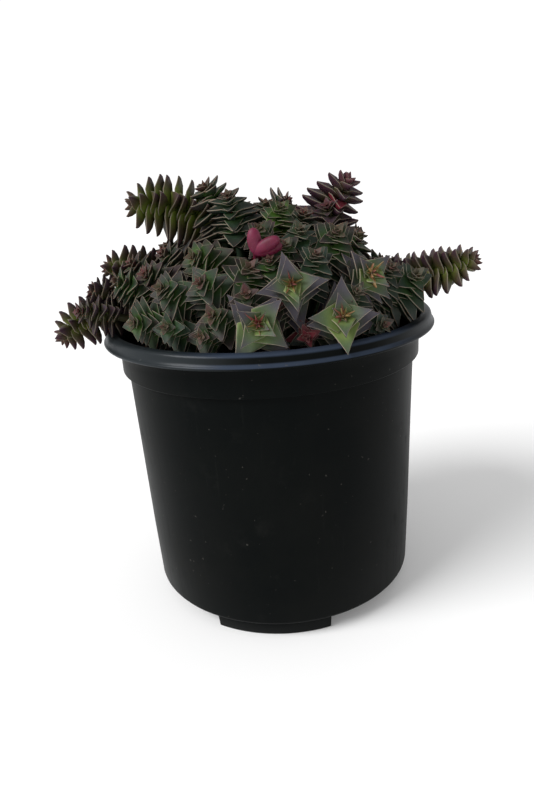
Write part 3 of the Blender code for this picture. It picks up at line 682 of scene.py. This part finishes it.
def settle(shoots):
    """Moves the holes and the bare part of the curves apart, so that no stem runs into another."""
    steps = SETTLE_POINTS
    weights = bernstein(np.linspace(0, 1, steps))
    freedom = np.array(FREEDOM)
    count = len(shoots)
    curves = np.array([shoot.curve for shoot in shoots])
    owner = np.repeat(np.arange(count), steps)
    root = np.array([shoots.index(shoot.stem) if shoot.stem else i for i, shoot in enumerate(shoots)])
    near_fork = np.tile(np.arange(steps) < FORK_POINTS, count)
    one_stem = root[owner][:, None] == root[owner][None, :]
    free = one_stem & (near_fork[:, None] | near_fork[None, :])
    counts = (owner[:, None] != owner[None, :]) & ~free
    reach = np.tile(np.linspace(CLEAR_BARE, CLEAR_LEAFY, steps), count)
    want = np.where(counts, np.minimum(reach[:, None], reach[None, :]), 0)
    mains = root == np.arange(count)
    for _ in range(SETTLE_ROUNDS):
        points = np.einsum("mk,nkd->nmd", weights, curves).reshape(-1, 3)
        push = parting(points, want, 1e-9).reshape(count, steps, 3)
        move = np.einsum("mk,nmd->nkd", weights, push) * freedom[None, :, None]
        move[:, 0, 2] = 0
        curves += move
        feet = curves[mains, 0, :2]
        feet += parting(feet, HOLE_ROOM, np.eye(len(feet)) * FAR_OFF)
        far = np.linalg.norm(feet, axis=1)
        curves[mains, 0, :2] = feet * np.minimum(1, (HOLE_RING + HOLE_SLACK) / far)[:, None]
        curves[~mains, 0] = (bernstein([FORK_AT]) @ curves[root[~mains]])[:, 0]
    for shoot, curve in zip(shoots, curves):
        shoot.curve = curve


back, back_side = back_stems()
stems = {}
for kind, entries in {"rosette": ROSETTES, "arm": ARMS, "stack": STACKS + back}.items():
    stems |= {entry[0]: Shoot(*entry, kind) for entry in entries}
side_shoots = [Shoot(*entry, "stack", stem=stems[entry[0]]) for entry in SHOOTS + back_side]
shoots = list(stems.values()) + side_shoots
red = Shoot("red", RED_TIP, 10, 70, 45, 1, 4, "stack")
settle(shoots + [red])
print(len(stems), "stems with", len(side_shoots), "side shoots have found their way")

# %% [markdown]
# ## Where the leaves sit
# The leaf pairs follow each other down the stem, each pair turned a quarter from the one above. At the
# tip they are small, close together and half closed; further down they open until they stand square to
# the stem. One rule gives all of these: from the tip down, each value comes nearer to its full size.

# %% Give each leaf its seat
FIRST_PAIR = by_kind(1.8, 0.25, 0.25)
PITCH = by_kind(3.2, 2.15, 1.8)
YOUNG_PITCH = 0.5
PITCH_WITHIN = 5.0
# The core's half width, and how far from the tip it is nearly full.
CORE = 1.7
YOUNG_CORE = 0.35
CORE_WITHIN = 4.0
# The leaves reach further down than on the solids, so that no bare stem shows between them.
LEAFY_SHARE = 1.6
LEAST_LEAFY = by_kind(0, 29, 0)
BARE_FOOT = 4.0


def nearing(distance, first, full, within):
    """A value that is first at the stem's tip and comes near to full after some distance."""
    return full + (first - full) * math.exp(-distance / within)


class Seat:
    """Where one leaf grows: its place on the axis, and the directions up the stem, out and across."""

    def __init__(self, centre, way, outward, depth, half):
        self.centre = centre
        self.way = way
        self.outward = outward
        self.across = way.cross(outward)
        self.depth = depth
        self.half = half


class Path:
    """A shoot's settled curve, measured from its tip down."""

    def __init__(self, shoot):
        self.fine = bernstein(np.linspace(1, 0, 160)) @ shoot.curve
        steps = np.linalg.norm(np.diff(self.fine, axis=0), axis=1)
        self.along = np.concatenate([[0], np.cumsum(steps)])
        self.length = float(self.along[-1])

    def at(self, distance):
        return Vector([float(np.interp(distance, self.along, self.fine[:, i])) for i in range(3)])

    def way(self, distance):
        """The direction up the stem."""
        return (self.at(max(0, distance - 0.7)) - self.at(distance + 0.7)).normalized()


def stations(shoot, distances):
    """The stem's centre, its way up, the way of leaf row 0 and the core's half width at each distance."""
    before = shoot.path.way(distances[0])
    side = Vector((0, 0, 1)) - before * before.z
    if side.length < 0.2:
        side = Vector((0, -1, 0)) + before * before.y
    side = Matrix.Rotation(shoot.turn, 3, before) @ side.normalized()
    found = []
    for distance in distances:
        # The way of row 0 is carried down the stem without twist.
        way = shoot.path.way(distance)
        side = before.rotation_difference(way) @ side
        side = (side - way * side.dot(way)).normalized()
        half = nearing(distance, YOUNG_CORE, CORE, CORE_WITHIN)
        found.append((shoot.path.at(distance), way, side, half))
        before = way
    return found


def lay_out(shoot):
    """Lists the shoot's leaf seats by pair."""
    shoot.path = Path(shoot)
    distances = []
    distance = FIRST_PAIR[shoot.kind]
    covered = min(max(shoot.leafy * LEAFY_SHARE, LEAST_LEAFY[shoot.kind]), shoot.path.length - BARE_FOOT)
    while distance < covered:
        distances.append(distance)
        distance += nearing(distance, YOUNG_PITCH, PITCH[shoot.kind], PITCH_WITHIN)
    shoot.pairs = []
    for pair, (centre, way, side, half) in enumerate(stations(shoot, distances)):
        cross = way.cross(side)
        rows = [side, -side] if pair % 2 == 0 else [cross, -cross]
        shoot.pairs.append([Seat(centre, way, row, distances[pair], half) for row in rows])


for shoot in shoots + [red]:
    lay_out(shoot)
print("seats for", 2 * sum(len(shoot.pairs) for shoot in shoots), "leaves")

# %% [markdown]
# ## The shape of a leaf
# A leaf is a thick pointed blade: widest at a fifth of its length, folded a little along its middle, with
# a keel below and a thin sharp edge. It could be sculpted, but a cube whose edges are cut into a few rows,
# with its points moved to the leaf's outline, gives the same clean leaf each time. There is a pattern for
# each kind of stem, of only some sixty faces, because they are repeated thousands of times. The UV map
# runs across and along the blade, so that the finish can follow the edge and the tip at any size.

# %% Shape one leaf
ROW_PLACES = (0.0, 0.2, 0.45, 0.72, 0.93, 1.0)
WIDEST_AT = 0.2
EDGE_ROW = 0.8
EDGE_THICK = 0.028
KEEL = 0.25
FOLD = 0.09
# The values that each leaf carries for its finish.
TOUCHES = ("tone", "age", "cool")
# How full the flanks are, how much they draw in again to the tip, and how broad the tip stays.
FLANKS = by_kind((1.15, 1.3, 0.02), (1.5, 1.05, 0.03), (1.35, 1.0, 0.05))


def outline(along, kind):
    """The half width of the blade, as a share of its greatest."""
    if along < WIDEST_AT:
        return 0.6 + 0.4 * math.sin(along / WIDEST_AT * math.pi / 2)
    full, drawn_in, tip = FLANKS[kind]
    passed = (along - WIDEST_AT) / (1 - WIDEST_AT)
    return tip + (1 - tip) * (1 - passed**full) ** drawn_in


def leaf_pattern(kind):
    """A leaf one unit long, half a unit wide at its widest each way, with its UV map."""
    bm = bmesh.new()
    bmesh.ops.create_cube(bm, size=1)
    across = [edge for edge in bm.edges if abs(edge.verts[0].co.x - edge.verts[1].co.x) > 0.5]
    bmesh.ops.subdivide_edges(bm, edges=across, cuts=3, use_grid_fill=True)
    along = [edge for edge in bm.edges if abs(edge.verts[0].co.y - edge.verts[1].co.y) > 0.5]
    bmesh.ops.subdivide_edges(bm, edges=along, cuts=len(ROW_PLACES) - 2, use_grid_fill=True)
    uv = bm.loops.layers.uv.new("leaf")
    for name in TOUCHES:
        bm.verts.layers.float.new(name)
    places = {}
    for vert in bm.verts:
        x = vert.co.x * 2
        x = math.copysign(EDGE_ROW, x) if 0.4 < abs(x) < 0.6 else x
        y = ROW_PLACES[round((vert.co.y + 0.5) * (len(ROW_PLACES) - 1))]
        below = vert.co.z < 0
        places[vert] = (x, y)
        fold = FOLD * abs(x) ** 1.5 * math.sin(min(y, 0.8) / 0.8 * math.pi)
        thick = (EDGE_THICK + KEEL * (1 - abs(x)) ** 0.7) * (1 - 0.25 * y**2 - 0.55 * y**8)
        vert.co = Vector((0.5 * x * outline(y, kind), y, fold - (thick if below else 0)))
    for face in bm.faces:
        for loop in face.loops:
            x, y = places[loop.vert]
            loop[uv].uv = (x / 2 + 0.5, y)
    bmesh.ops.recalc_face_normals(bm, faces=bm.faces)
    mesh = bpy.data.meshes.new("leaf pattern")
    bm.to_mesh(mesh)
    bm.free()
    return mesh


patterns = {kind: leaf_pattern(kind) for kind in FLANKS}
print("one leaf:", len(patterns["arm"].polygons), "faces")

# %% [markdown]
# ## Leaves that give way
# Neighbouring stems press their leaves together, and a leaf that finds no room stays shorter or bends a
# little. A simulation would be slow for so many leaves. Instead, before a leaf is placed, a rough stand-in
# of six points is tested against the shoots around it, and the first size that stays clear is taken. The
# test lets leaves touch, as they do on the plant.

# %% Test one leaf
# The shares of a leaf's length and the bends in degrees that are tried in turn.
TRIES = [(share, bend) for share in (1.0, 0.9, 0.8, 0.7, 0.6, 0.5) for bend in (0, -8, 8)]
WIDTH = by_kind(0.92, 0.84, 0.98)
# The stand-in is this much smaller than its leaf, because real leaves give way a little.
SOFT = 0.74
WALL_RINGS = 14


class Leaf:
    """One leaf in its seat. The blade points along it, and the upper side looks up the stem."""

    def __init__(self, seat, length, tilt, width, kind, curl=0.0):
        self.seat = seat
        self.length = length
        self.width = width
        self.kind = kind
        self.curl = curl
        self.twist = 0.0
        tilt = math.radians(tilt)
        self.blade = seat.way * math.cos(tilt) + seat.outward * math.sin(tilt)
        self.upper = seat.way * math.sin(tilt) - seat.outward * math.cos(tilt)

    def stand_in(self):
        """A slightly smaller wedge as points and triangles."""
        seat = self.seat
        base = seat.centre + seat.outward * seat.half
        length = self.length * SOFT
        across = seat.across * (0.5 * self.width * self.length * SOFT)
        wide = base + self.blade * (WIDEST_AT * length)
        points = [
            base - seat.across * seat.half, base + seat.across * seat.half,
            wide - across, wide + across, base + self.blade * length,
            wide - self.upper * 0.6,
        ]
        faces = [(0, 1, 3), (0, 3, 2), (2, 3, 4), (2, 5, 4), (3, 5, 4), (0, 5, 2), (1, 5, 3), (0, 1, 5)]
        return points, faces


def core_wall(shoot):
    """The shoot's core as a four-sided tube of triangles."""
    points = []
    faces = []
    for centre, way, side, half in stations(shoot, list(np.linspace(0.5, shoot.path.length, WALL_RINGS))):
        cross = way.cross(side)
        points += [centre + side * half, centre + cross * half, centre - side * half, centre - cross * half]
    for index in range(WALL_RINGS - 1):
        for row in range(4):
            a, b = index * 4 + row, index * 4 + (row + 1) % 4
            faces += [(a, b, b + 4), (a, b + 4, a + 4)]
    return points, faces


def fitted(seat, length, tilt, kind, neighbours):
    """The first leaf of those tried that stays clear of the neighbours, or none."""
    for share, bend in TRIES:
        leaf = Leaf(seat, length * share, tilt + bend, WIDTH[kind], kind)
        tree = BVHTree.FromPolygons(*leaf.stand_in())
        if not any(tree.overlap(other) for other in neighbours):
            return leaf
    return None


def tree_of(name):
    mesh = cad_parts[name].data
    points = [vert.co / MM for vert in mesh.vertices]
    return BVHTree.FromPolygons(points, [tuple(face.vertices) for face in mesh.polygons])


fixed_trees = [tree_of(name) for name in ("pot", "stem_red")]
shapes = [core_wall(shoot) for shoot in shoots]
trees = [BVHTree.FromPolygons(*shape) for shape in shapes]
print(len(TRIES), "sizes and bends to try for each leaf")

# %% [markdown]
# The green turns to red from a leaf's tip down, further on some stems than on others, and one leaf is red
# all over. Stems in the shade stay bluish. Each leaf gets these tints as it grows, with a little chance.
# The rosettes and the long arms grow whole first, and then all the others a pair at a time, so that
# neighbours share the room between them.

# %% Grow the leaves
LEAF_SEED = 11
YOUNG_LENGTH = by_kind(0.2, 0.32, 0.14)
LENGTH_WITHIN = by_kind(1.8, 5.0, 5.5)
YOUNG_TILT = by_kind(32, 16, 32)
FULL_TILT = 89
TILT_WITHIN = 3.6
UNEVEN = by_kind(0.14, 0.05, 0.14)
UNEVEN_TILT = by_kind(8, 5, 9)
# How far the red has spread, from 0, all green, to 1: for a kind of stem, a stem or its side shoot.
RIPE = by_kind(0.5, 0.45, 0.45) | {
    "left_green": 0.25, "top_yellow": 0.05, "middle_blue": 0.15, "right_fan": 0.25, "rim_star": 0.3,
    "left_bend": 0.8, "left_brown": 0.7, "top_red": 0.9, "arm_top_right": 0.9, "top_fins": 0.8,
    "front_red": 0.9, "left_dark": 0.7, "top_layers": 0.6, "left_fold": 0.35, "left_bend_side": 0.8,
    "front_red_side": 0.7, "left_brown_side": 0.7, "left_dark_side": 0.5, "rim_low_right_side": 1.15,
    "front_right": 0.35, "right_high": 0.45, "rim_left": 0.3, "arm_left_high": 0.2, "top_fins_side": 0.7,
}
# How blue the green is, which it is most on the stems that stand in the shade.
COOL = by_kind(0.0, 0.0, 0.3) | {
    "middle_blue": 1.0, "right_fan": 0.8, "rim_star": 0.8, "right_grey": 0.8, "rim_low_right": 1.0,
    "left_inner": 0.5, "top_small": 0.7, "left_rose": 0.4, "rim_inner_left": 0.2,
    "left_green": 0.0, "top_yellow": 0.0, "left_brown": 0.0,
}
# Where one leaf at the top right has turned wholly red.
RED_LEAF_AT = Vector((38.5, -26, 195))
ALL_RED = 1.5
NEAR_BY = 32
leaf_draw = random.Random(LEAF_SEED)


def near(index):
    """The trees of all the shoots that could touch this one, and of the pot and the red stem."""
    here = shoots[index]
    return [
        trees[other] for other, there in enumerate(shoots)
        if other != index and (there.tip - here.tip).length < there.leafy + here.leafy + NEAR_BY
    ] + fixed_trees


def grow_pair(index, pair):
    shoot = shoots[index]
    kind = shoot.kind
    neighbours = near(index)
    points, faces = shapes[index]
    for seat in shoot.pairs[pair]:
        length = shoot.length * nearing(seat.depth, YOUNG_LENGTH[kind], 1.0, LENGTH_WITHIN[kind])
        length *= 1 + leaf_draw.uniform(-1.5, 0.7) * UNEVEN[kind]
        tilt = nearing(seat.depth, YOUNG_TILT[kind], FULL_TILT, TILT_WITHIN)
        tilt += leaf_draw.uniform(-1, 1) * UNEVEN_TILT[kind]
        aside = leaf_draw.uniform(-1, 1) * UNEVEN[kind]
        outward = Matrix.Rotation(aside, 3, seat.way) @ seat.outward
        seat = Seat(seat.centre, seat.way, outward, seat.depth, seat.half)
        leaf = fitted(seat, length, tilt, kind, neighbours)
        if leaf:
            leaf.twist = math.radians(leaf_draw.uniform(-1, 1) * UNEVEN_TILT[kind])
            leaf.curl = leaf_draw.uniform(0.03, 0.14)
            leaf.tone = RIPE.get(shoot.tint, RIPE[kind]) + leaf_draw.uniform(-0.2, 0.2)
            if kind == "rosette":
                # Leaves that face the sky are riper. The lower pairs are painted darker and more purple,
                # painted shade under the pairs above.
                leaf.tone = min(leaf.tone + 0.4 * leaf.blade.z + 0.2 * max(0, pair - 1), 0.95)
            shoot.leaves.append(leaf)
            more_points, more_faces = leaf.stand_in()
            faces += [tuple(i + len(points) for i in face) for face in more_faces]
            points += more_points
    trees[index] = BVHTree.FromPolygons(points, faces)


whole_first = len(ROSETTES) + len(ARMS)
for index in range(whole_first):
    for pair in range(len(shoots[index].pairs)):
        grow_pair(index, pair)
for pair in range(max(len(shoot.pairs) for shoot in shoots)):
    for index in range(whole_first, len(shoots)):
        if pair < len(shoots[index].pairs):
            grow_pair(index, pair)
# The leaf that has turned red is the one at that place of those that point to the front.
facing = [leaf for shoot in shoots for leaf in shoot.leaves if leaf.blade.y < -0.4]
tips = [leaf.seat.centre + leaf.blade * leaf.length for leaf in facing]
nearest = min(range(len(tips)), key=lambda index: (tips[index] - RED_LEAF_AT).length)
facing[nearest].tone = ALL_RED
print("leaves that found room:", sum(len(shoot.leaves) for shoot in shoots))

# %% [markdown]
# ## The leaves' finish
# On the real leaf the base is green, the blade turns olive and the tip purple-brown, the more so the more
# sun it gets, and the thin edge is pale, or dim on the reddest stems. The UV map gives the place on the
# leaf, and three attributes give each leaf its own tone, age and coolness, so that one finish serves
# hundreds of leaves that all differ. Fine noise stands for the tiny pale bumps.

# %% Make the leaf finishes
PALE_EDGE = colour(0.265, 0.220, 0.170)
DIM_EDGE = colour(0.165, 0.143, 0.105)
COOL_LEAF = colour(0.016, 0.034, 0.026)
RED_LEAF = colour(0.110, 0.010, 0.018)


def leaf_finish(name, base, blade, tip, young, blush, edge, margin):
    """The colours from a leaf's base to its tip, of its youngest leaves, and of an edge of some width."""
    finish = Finish(name, {"Specular IOR Level": 0.2, "Subsurface Weight": 0.06, "Subsurface Scale": 0.002})
    u, v, _ = finish.parts(finish.node("ShaderNodeUVMap", {"uv_map": "leaf"}))
    tone, age, cool = [
        finish.node("ShaderNodeAttribute", {"attribute_name": touch}, None, 2) for touch in TOUCHES
    ]
    place = finish.own_place()
    cloud = finish.noise(place, 130.0, 3)
    grain = finish.noise(place, 1400.0, 2, 0.6)
    along = v + (cloud - 0.5) * 0.35 + (tone - 0.5) * 0.7
    lower = finish.mix(along.between(0.02, 0.5), base, blade)
    body = finish.mix(along.between(0.35, 0.95), lower, tip)
    body = finish.mix(cool * 0.6, body, COOL_LEAF)
    newest = finish.mix(tone.between(0.2, 0.8), young, blush)
    body = finish.mix(age.between(0.5, 0.05) * 0.8, body, newest)
    body = finish.mix(tone.between(1.0, 1.4) * 0.9, body, RED_LEAF)
    body = finish.mix(grain.between(0.55, 0.75) * 0.07, body, PALE_EDGE)
    from_edge = (1 - abs(u * 2 - 1)) * (1.15 - v) * 6.0
    rim = from_edge.between(margin, margin * 0.3) * (0.65 + age * 0.35)
    finish.feed("Base Color", finish.mix(rim * 0.9, body, edge))
    finish.feed("Roughness", 0.46 + grain * 0.2 + rim * 0.1)
    finish.bump(grain * 0.6 + cloud * 0.4, 0.0003, 0.35)
    return finish


leaf_finishes = {
    "leaf_light": leaf_finish(
        "light rosette leaf", base=colour(0.135, 0.182, 0.052), blade=colour(0.066, 0.098, 0.042),
        tip=colour(0.050, 0.045, 0.055), young=colour(0.27, 0.170, 0.055),
        blush=colour(0.260, 0.060, 0.050), edge=PALE_EDGE, margin=0.24,
    ),
    "leaf_dark": leaf_finish(
        "olive leaf", base=colour(0.036, 0.082, 0.008), blade=colour(0.018, 0.034, 0.012),
        tip=colour(0.024, 0.013, 0.014), young=colour(0.062, 0.048, 0.030),
        blush=colour(0.095, 0.026, 0.028), edge=PALE_EDGE, margin=0.21,
    ),
    "leaf_maroon": leaf_finish(
        "maroon leaf", base=colour(0.095, 0.125, 0.016), blade=colour(0.045, 0.038, 0.014),
        tip=colour(0.038, 0.017, 0.027), young=colour(0.075, 0.045, 0.036),
        blush=colour(0.085, 0.026, 0.030), edge=DIM_EDGE, margin=0.10,
    ),
}
print("leaf finishes:", ", ".join(leaf_finishes))

# %% [markdown]
# ## Building a stem
# A stem's core is a ring of eight points, extruded from the soil to the tip. Each leaf is a copy of its
# pattern that is scaled, curled, twisted and set in its seat. Its base reaches into the core, so that the
# pairs close round the stem. Instances would be lighter, but one mesh for each stem exports as one piece.
# The open rosettes also get young leaves in their middle.

# %% Build the stems
PLUMP = by_kind(1.0, 1.15, 0.95)
# Past this length a leaf grows no thicker.
MOST_THICK = 11
CORE_SIDES = 8
CORE_RINGS = 22
# The ring is larger than the core's half width, because its sides are flat.
RING_OVER = 1.1
ROOT_DEPTH = 10
# The core has the colour of a leaf's blade, not of its edge.
CORE_UV = (0.5, 0.6)
CORE_TONE = 0.3
SPIRAL = 137.5
BROAD_BRACTS = 5
SLIM_BRACTS = 11
MAROON = {
    "arm_top_right", "arm_right", "arm_left_low", "arm_left_high", "arm_left_mid", "top_red", "left_bend",
}


def placed(centre, way, side, half):
    """A matrix that puts a unit ring at a place on the stem."""
    cross = way.cross(side)
    turn = Matrix((side, cross, way)).transposed().to_4x4()
    return Matrix.Translation(centre) @ turn @ Matrix.Diagonal((half * RING_OVER, half * RING_OVER, 1, 1))


def core_places(shoot):
    """The places of the core's rings, from the foot to the tip. A main stem starts deep in the soil."""
    distances = list(np.linspace(shoot.path.length, 0.3, CORE_RINGS))
    upward = stations(shoot, distances[::-1])[::-1]
    foot, _, side, _ = upward[0]
    up = Vector((0, 0, 1))
    deep = [] if shoot.stem else [placed(foot - up * ROOT_DEPTH, up, side, CORE)]
    return deep + [placed(*station) for station in upward]


def core_mesh(bm, shoot):
    """Extrudes the core from its foot to its tip."""
    places = core_places(shoot)
    ring = bmesh.ops.create_circle(bm, cap_ends=True, segments=CORE_SIDES, radius=1)["verts"]
    bmesh.ops.transform(bm, matrix=places[0], verts=ring)
    edges = list({edge for vert in ring for edge in vert.link_edges})
    for before, place in zip(places, places[1:]):
        grown = bmesh.ops.extrude_edge_only(bm, edges=edges)["geom"]
        ring = [item for item in grown if isinstance(item, bmesh.types.BMVert)]
        edges = [item for item in grown if isinstance(item, bmesh.types.BMEdge)]
        bmesh.ops.transform(bm, matrix=place @ before.inverted(), verts=ring)
    bmesh.ops.pointmerge(bm, verts=ring, merge_co=shoot.tip)


def add_leaf(bm, leaf, layers, values):
    """Copies the pattern into its seat."""
    start = len(bm.verts)
    bm.from_mesh(patterns[leaf.kind])
    bm.verts.ensure_lookup_table()
    verts = bm.verts[start:]
    wide = leaf.width * leaf.length
    thick = min(leaf.length, MOST_THICK) * PLUMP[leaf.kind]
    for vert in verts:
        vert.co.z -= leaf.curl * vert.co.y**2
        for layer, value in zip(layers, values):
            vert[layer] = value
    seat = leaf.seat
    turn = Matrix((-seat.across, leaf.blade, leaf.upper)).transposed().to_4x4()
    twist = Matrix.Rotation(leaf.twist, 4, "Y")
    size = Matrix.Diagonal((wide, leaf.length + seat.half, thick, 1))
    bmesh.ops.transform(bm, matrix=Matrix.Translation(seat.centre) @ turn @ twist @ size, verts=verts)


def add_bract(bm, shoot, layers, order, length, tilt, width, values):
    """One young leaf of a rosette. The order gives its way round the stem and its place along it."""
    way = shoot.path.way(0.5)
    outward = Matrix.Rotation(math.radians(order * SPIRAL), 3, way) @ shoot.pairs[0][0].outward
    seat = Seat(shoot.path.at(1.4 - 0.08 * order), way, outward, 0.1, YOUNG_CORE)
    add_leaf(bm, Leaf(seat, length, tilt, width, "rosette", curl=-0.1), layers, values)


def add_bracts(bm, shoot, layers):
    """The young leaves in the middle of a rosette: small broad ones, and slim ones spread like a star."""
    draw = random.Random(shoot.name)
    for order in range(BROAD_BRACTS):
        length = draw.uniform(3.5, 6.5)
        values = (draw.uniform(-0.2, 0.5), 0.45, 0.0)
        add_bract(bm, shoot, layers, order, length, 76 - 6 * order, draw.uniform(0.6, 0.9), values)
    for order in range(SLIM_BRACTS):
        length = draw.uniform(5.0, 8.5) * (1 - 0.05 * order)
        values = (draw.uniform(0.0, 1.0), 0.06, 0.0)
        tilt = 64 - 5 * order + draw.uniform(-6, 6)
        add_bract(bm, shoot, layers, order, length, tilt, draw.uniform(0.13, 0.22), values)


def build_stem(stem):
    bm = bmesh.new()
    uv = bm.loops.layers.uv.new("leaf")
    layers = [bm.verts.layers.float.new(name) for name in TOUCHES]
    cool = COOL.get(stem.name, COOL[stem.kind])
    family = [stem] + [shoot for shoot in side_shoots if shoot.stem is stem]
    for shoot in family:
        core_mesh(bm, shoot)
    for face in bm.faces:
        for loop in face.loops:
            loop[uv].uv = CORE_UV
    for vert in bm.verts:
        for layer, value in zip(layers, (CORE_TONE, 1.0, cool)):
            vert[layer] = value
    for shoot in family:
        for leaf in shoot.leaves:
            age = 1 - math.exp(-leaf.seat.depth / LENGTH_WITHIN[shoot.kind])
            add_leaf(bm, leaf, layers, (leaf.tone, age, cool))
        if shoot.kind == "rosette":
            add_bracts(bm, shoot, layers)
    if stem.kind == "rosette":
        slot = "leaf_light"
    else:
        slot = "leaf_maroon" if stem.name in MAROON else "leaf_dark"
    bmesh.ops.recalc_face_normals(bm, faces=bm.faces)
    return piece(f"leaves_{stem.name}", bm, leaf_finishes[slot], f"stem_{stem.name}")


faces = 0
for stem in stems.values():
    faces += len(build_stem(stem).data.polygons)
print("leaves and stems:", faces, "faces")

# %% [markdown]
# ## The thick red leaves
# One old stem has a few swollen magenta leaves at its top. They are smooth and plump, so the rows of a
# sphere suit them better than the thin pattern of the other leaves. Each sphere is drawn out, flattened
# and made a little fuller towards its end, and set on the bare stem.

# %% Shape the red leaves
RED_LEAVES = [(9.5, -70, 86), (11.5, 70, 26), (11.0, 86, 10)]
RED_WIDTH = 2.9
RED_THICK = 2.2
RED_SWELL = 0.1
RED_BASE = 0.8


def red_finish():
    finish = Finish("waxy red leaf", {
        "Specular IOR Level": 0.3, "Subsurface Weight": 0.15, "Subsurface Scale": 0.002,
    })
    place = finish.own_place()
    cloud = finish.noise(place, 160.0, 3)
    grain = finish.noise(place, 1500.0, 2)
    body = finish.mix(cloud.between(0.35, 0.7), colour(0.080, 0.004, 0.019), colour(0.130, 0.009, 0.036))
    finish.feed("Base Color", finish.mix(grain.between(0.62, 0.75) * 0.15, body, colour(0.5, 0.2, 0.22)))
    finish.feed("Roughness", 0.42 + grain * 0.2)
    finish.bump(cloud + grain * 0.3, 0.0003, 0.3)
    return finish


red_bm = bmesh.new()
core_mesh(red_bm, red)
for length, heading, rise in RED_LEAVES:
    made = bmesh.ops.create_uvsphere(red_bm, u_segments=20, v_segments=14, radius=1)["verts"]
    for vert in made:
        swell = 1 + RED_SWELL * max(0.0, vert.co.z) ** 2
        vert.co.x *= RED_WIDTH * swell
        vert.co.y *= RED_THICK * swell
        vert.co.z = (vert.co.z + RED_BASE) * length / (1 + RED_BASE)
    turn = Vector((0, 0, 1)).rotation_difference(direction(heading, rise))
    bmesh.ops.rotate(red_bm, cent=(0, 0, 0), matrix=turn.to_matrix(), verts=made)
    bmesh.ops.translate(red_bm, vec=red.tip, verts=made)
bmesh.ops.recalc_face_normals(red_bm, faces=red_bm.faces)
red_piece = piece("red_leaves", red_bm, red_finish(), "stem_red")
print("red_leaves:", len(red_piece.data.polygons), "faces")
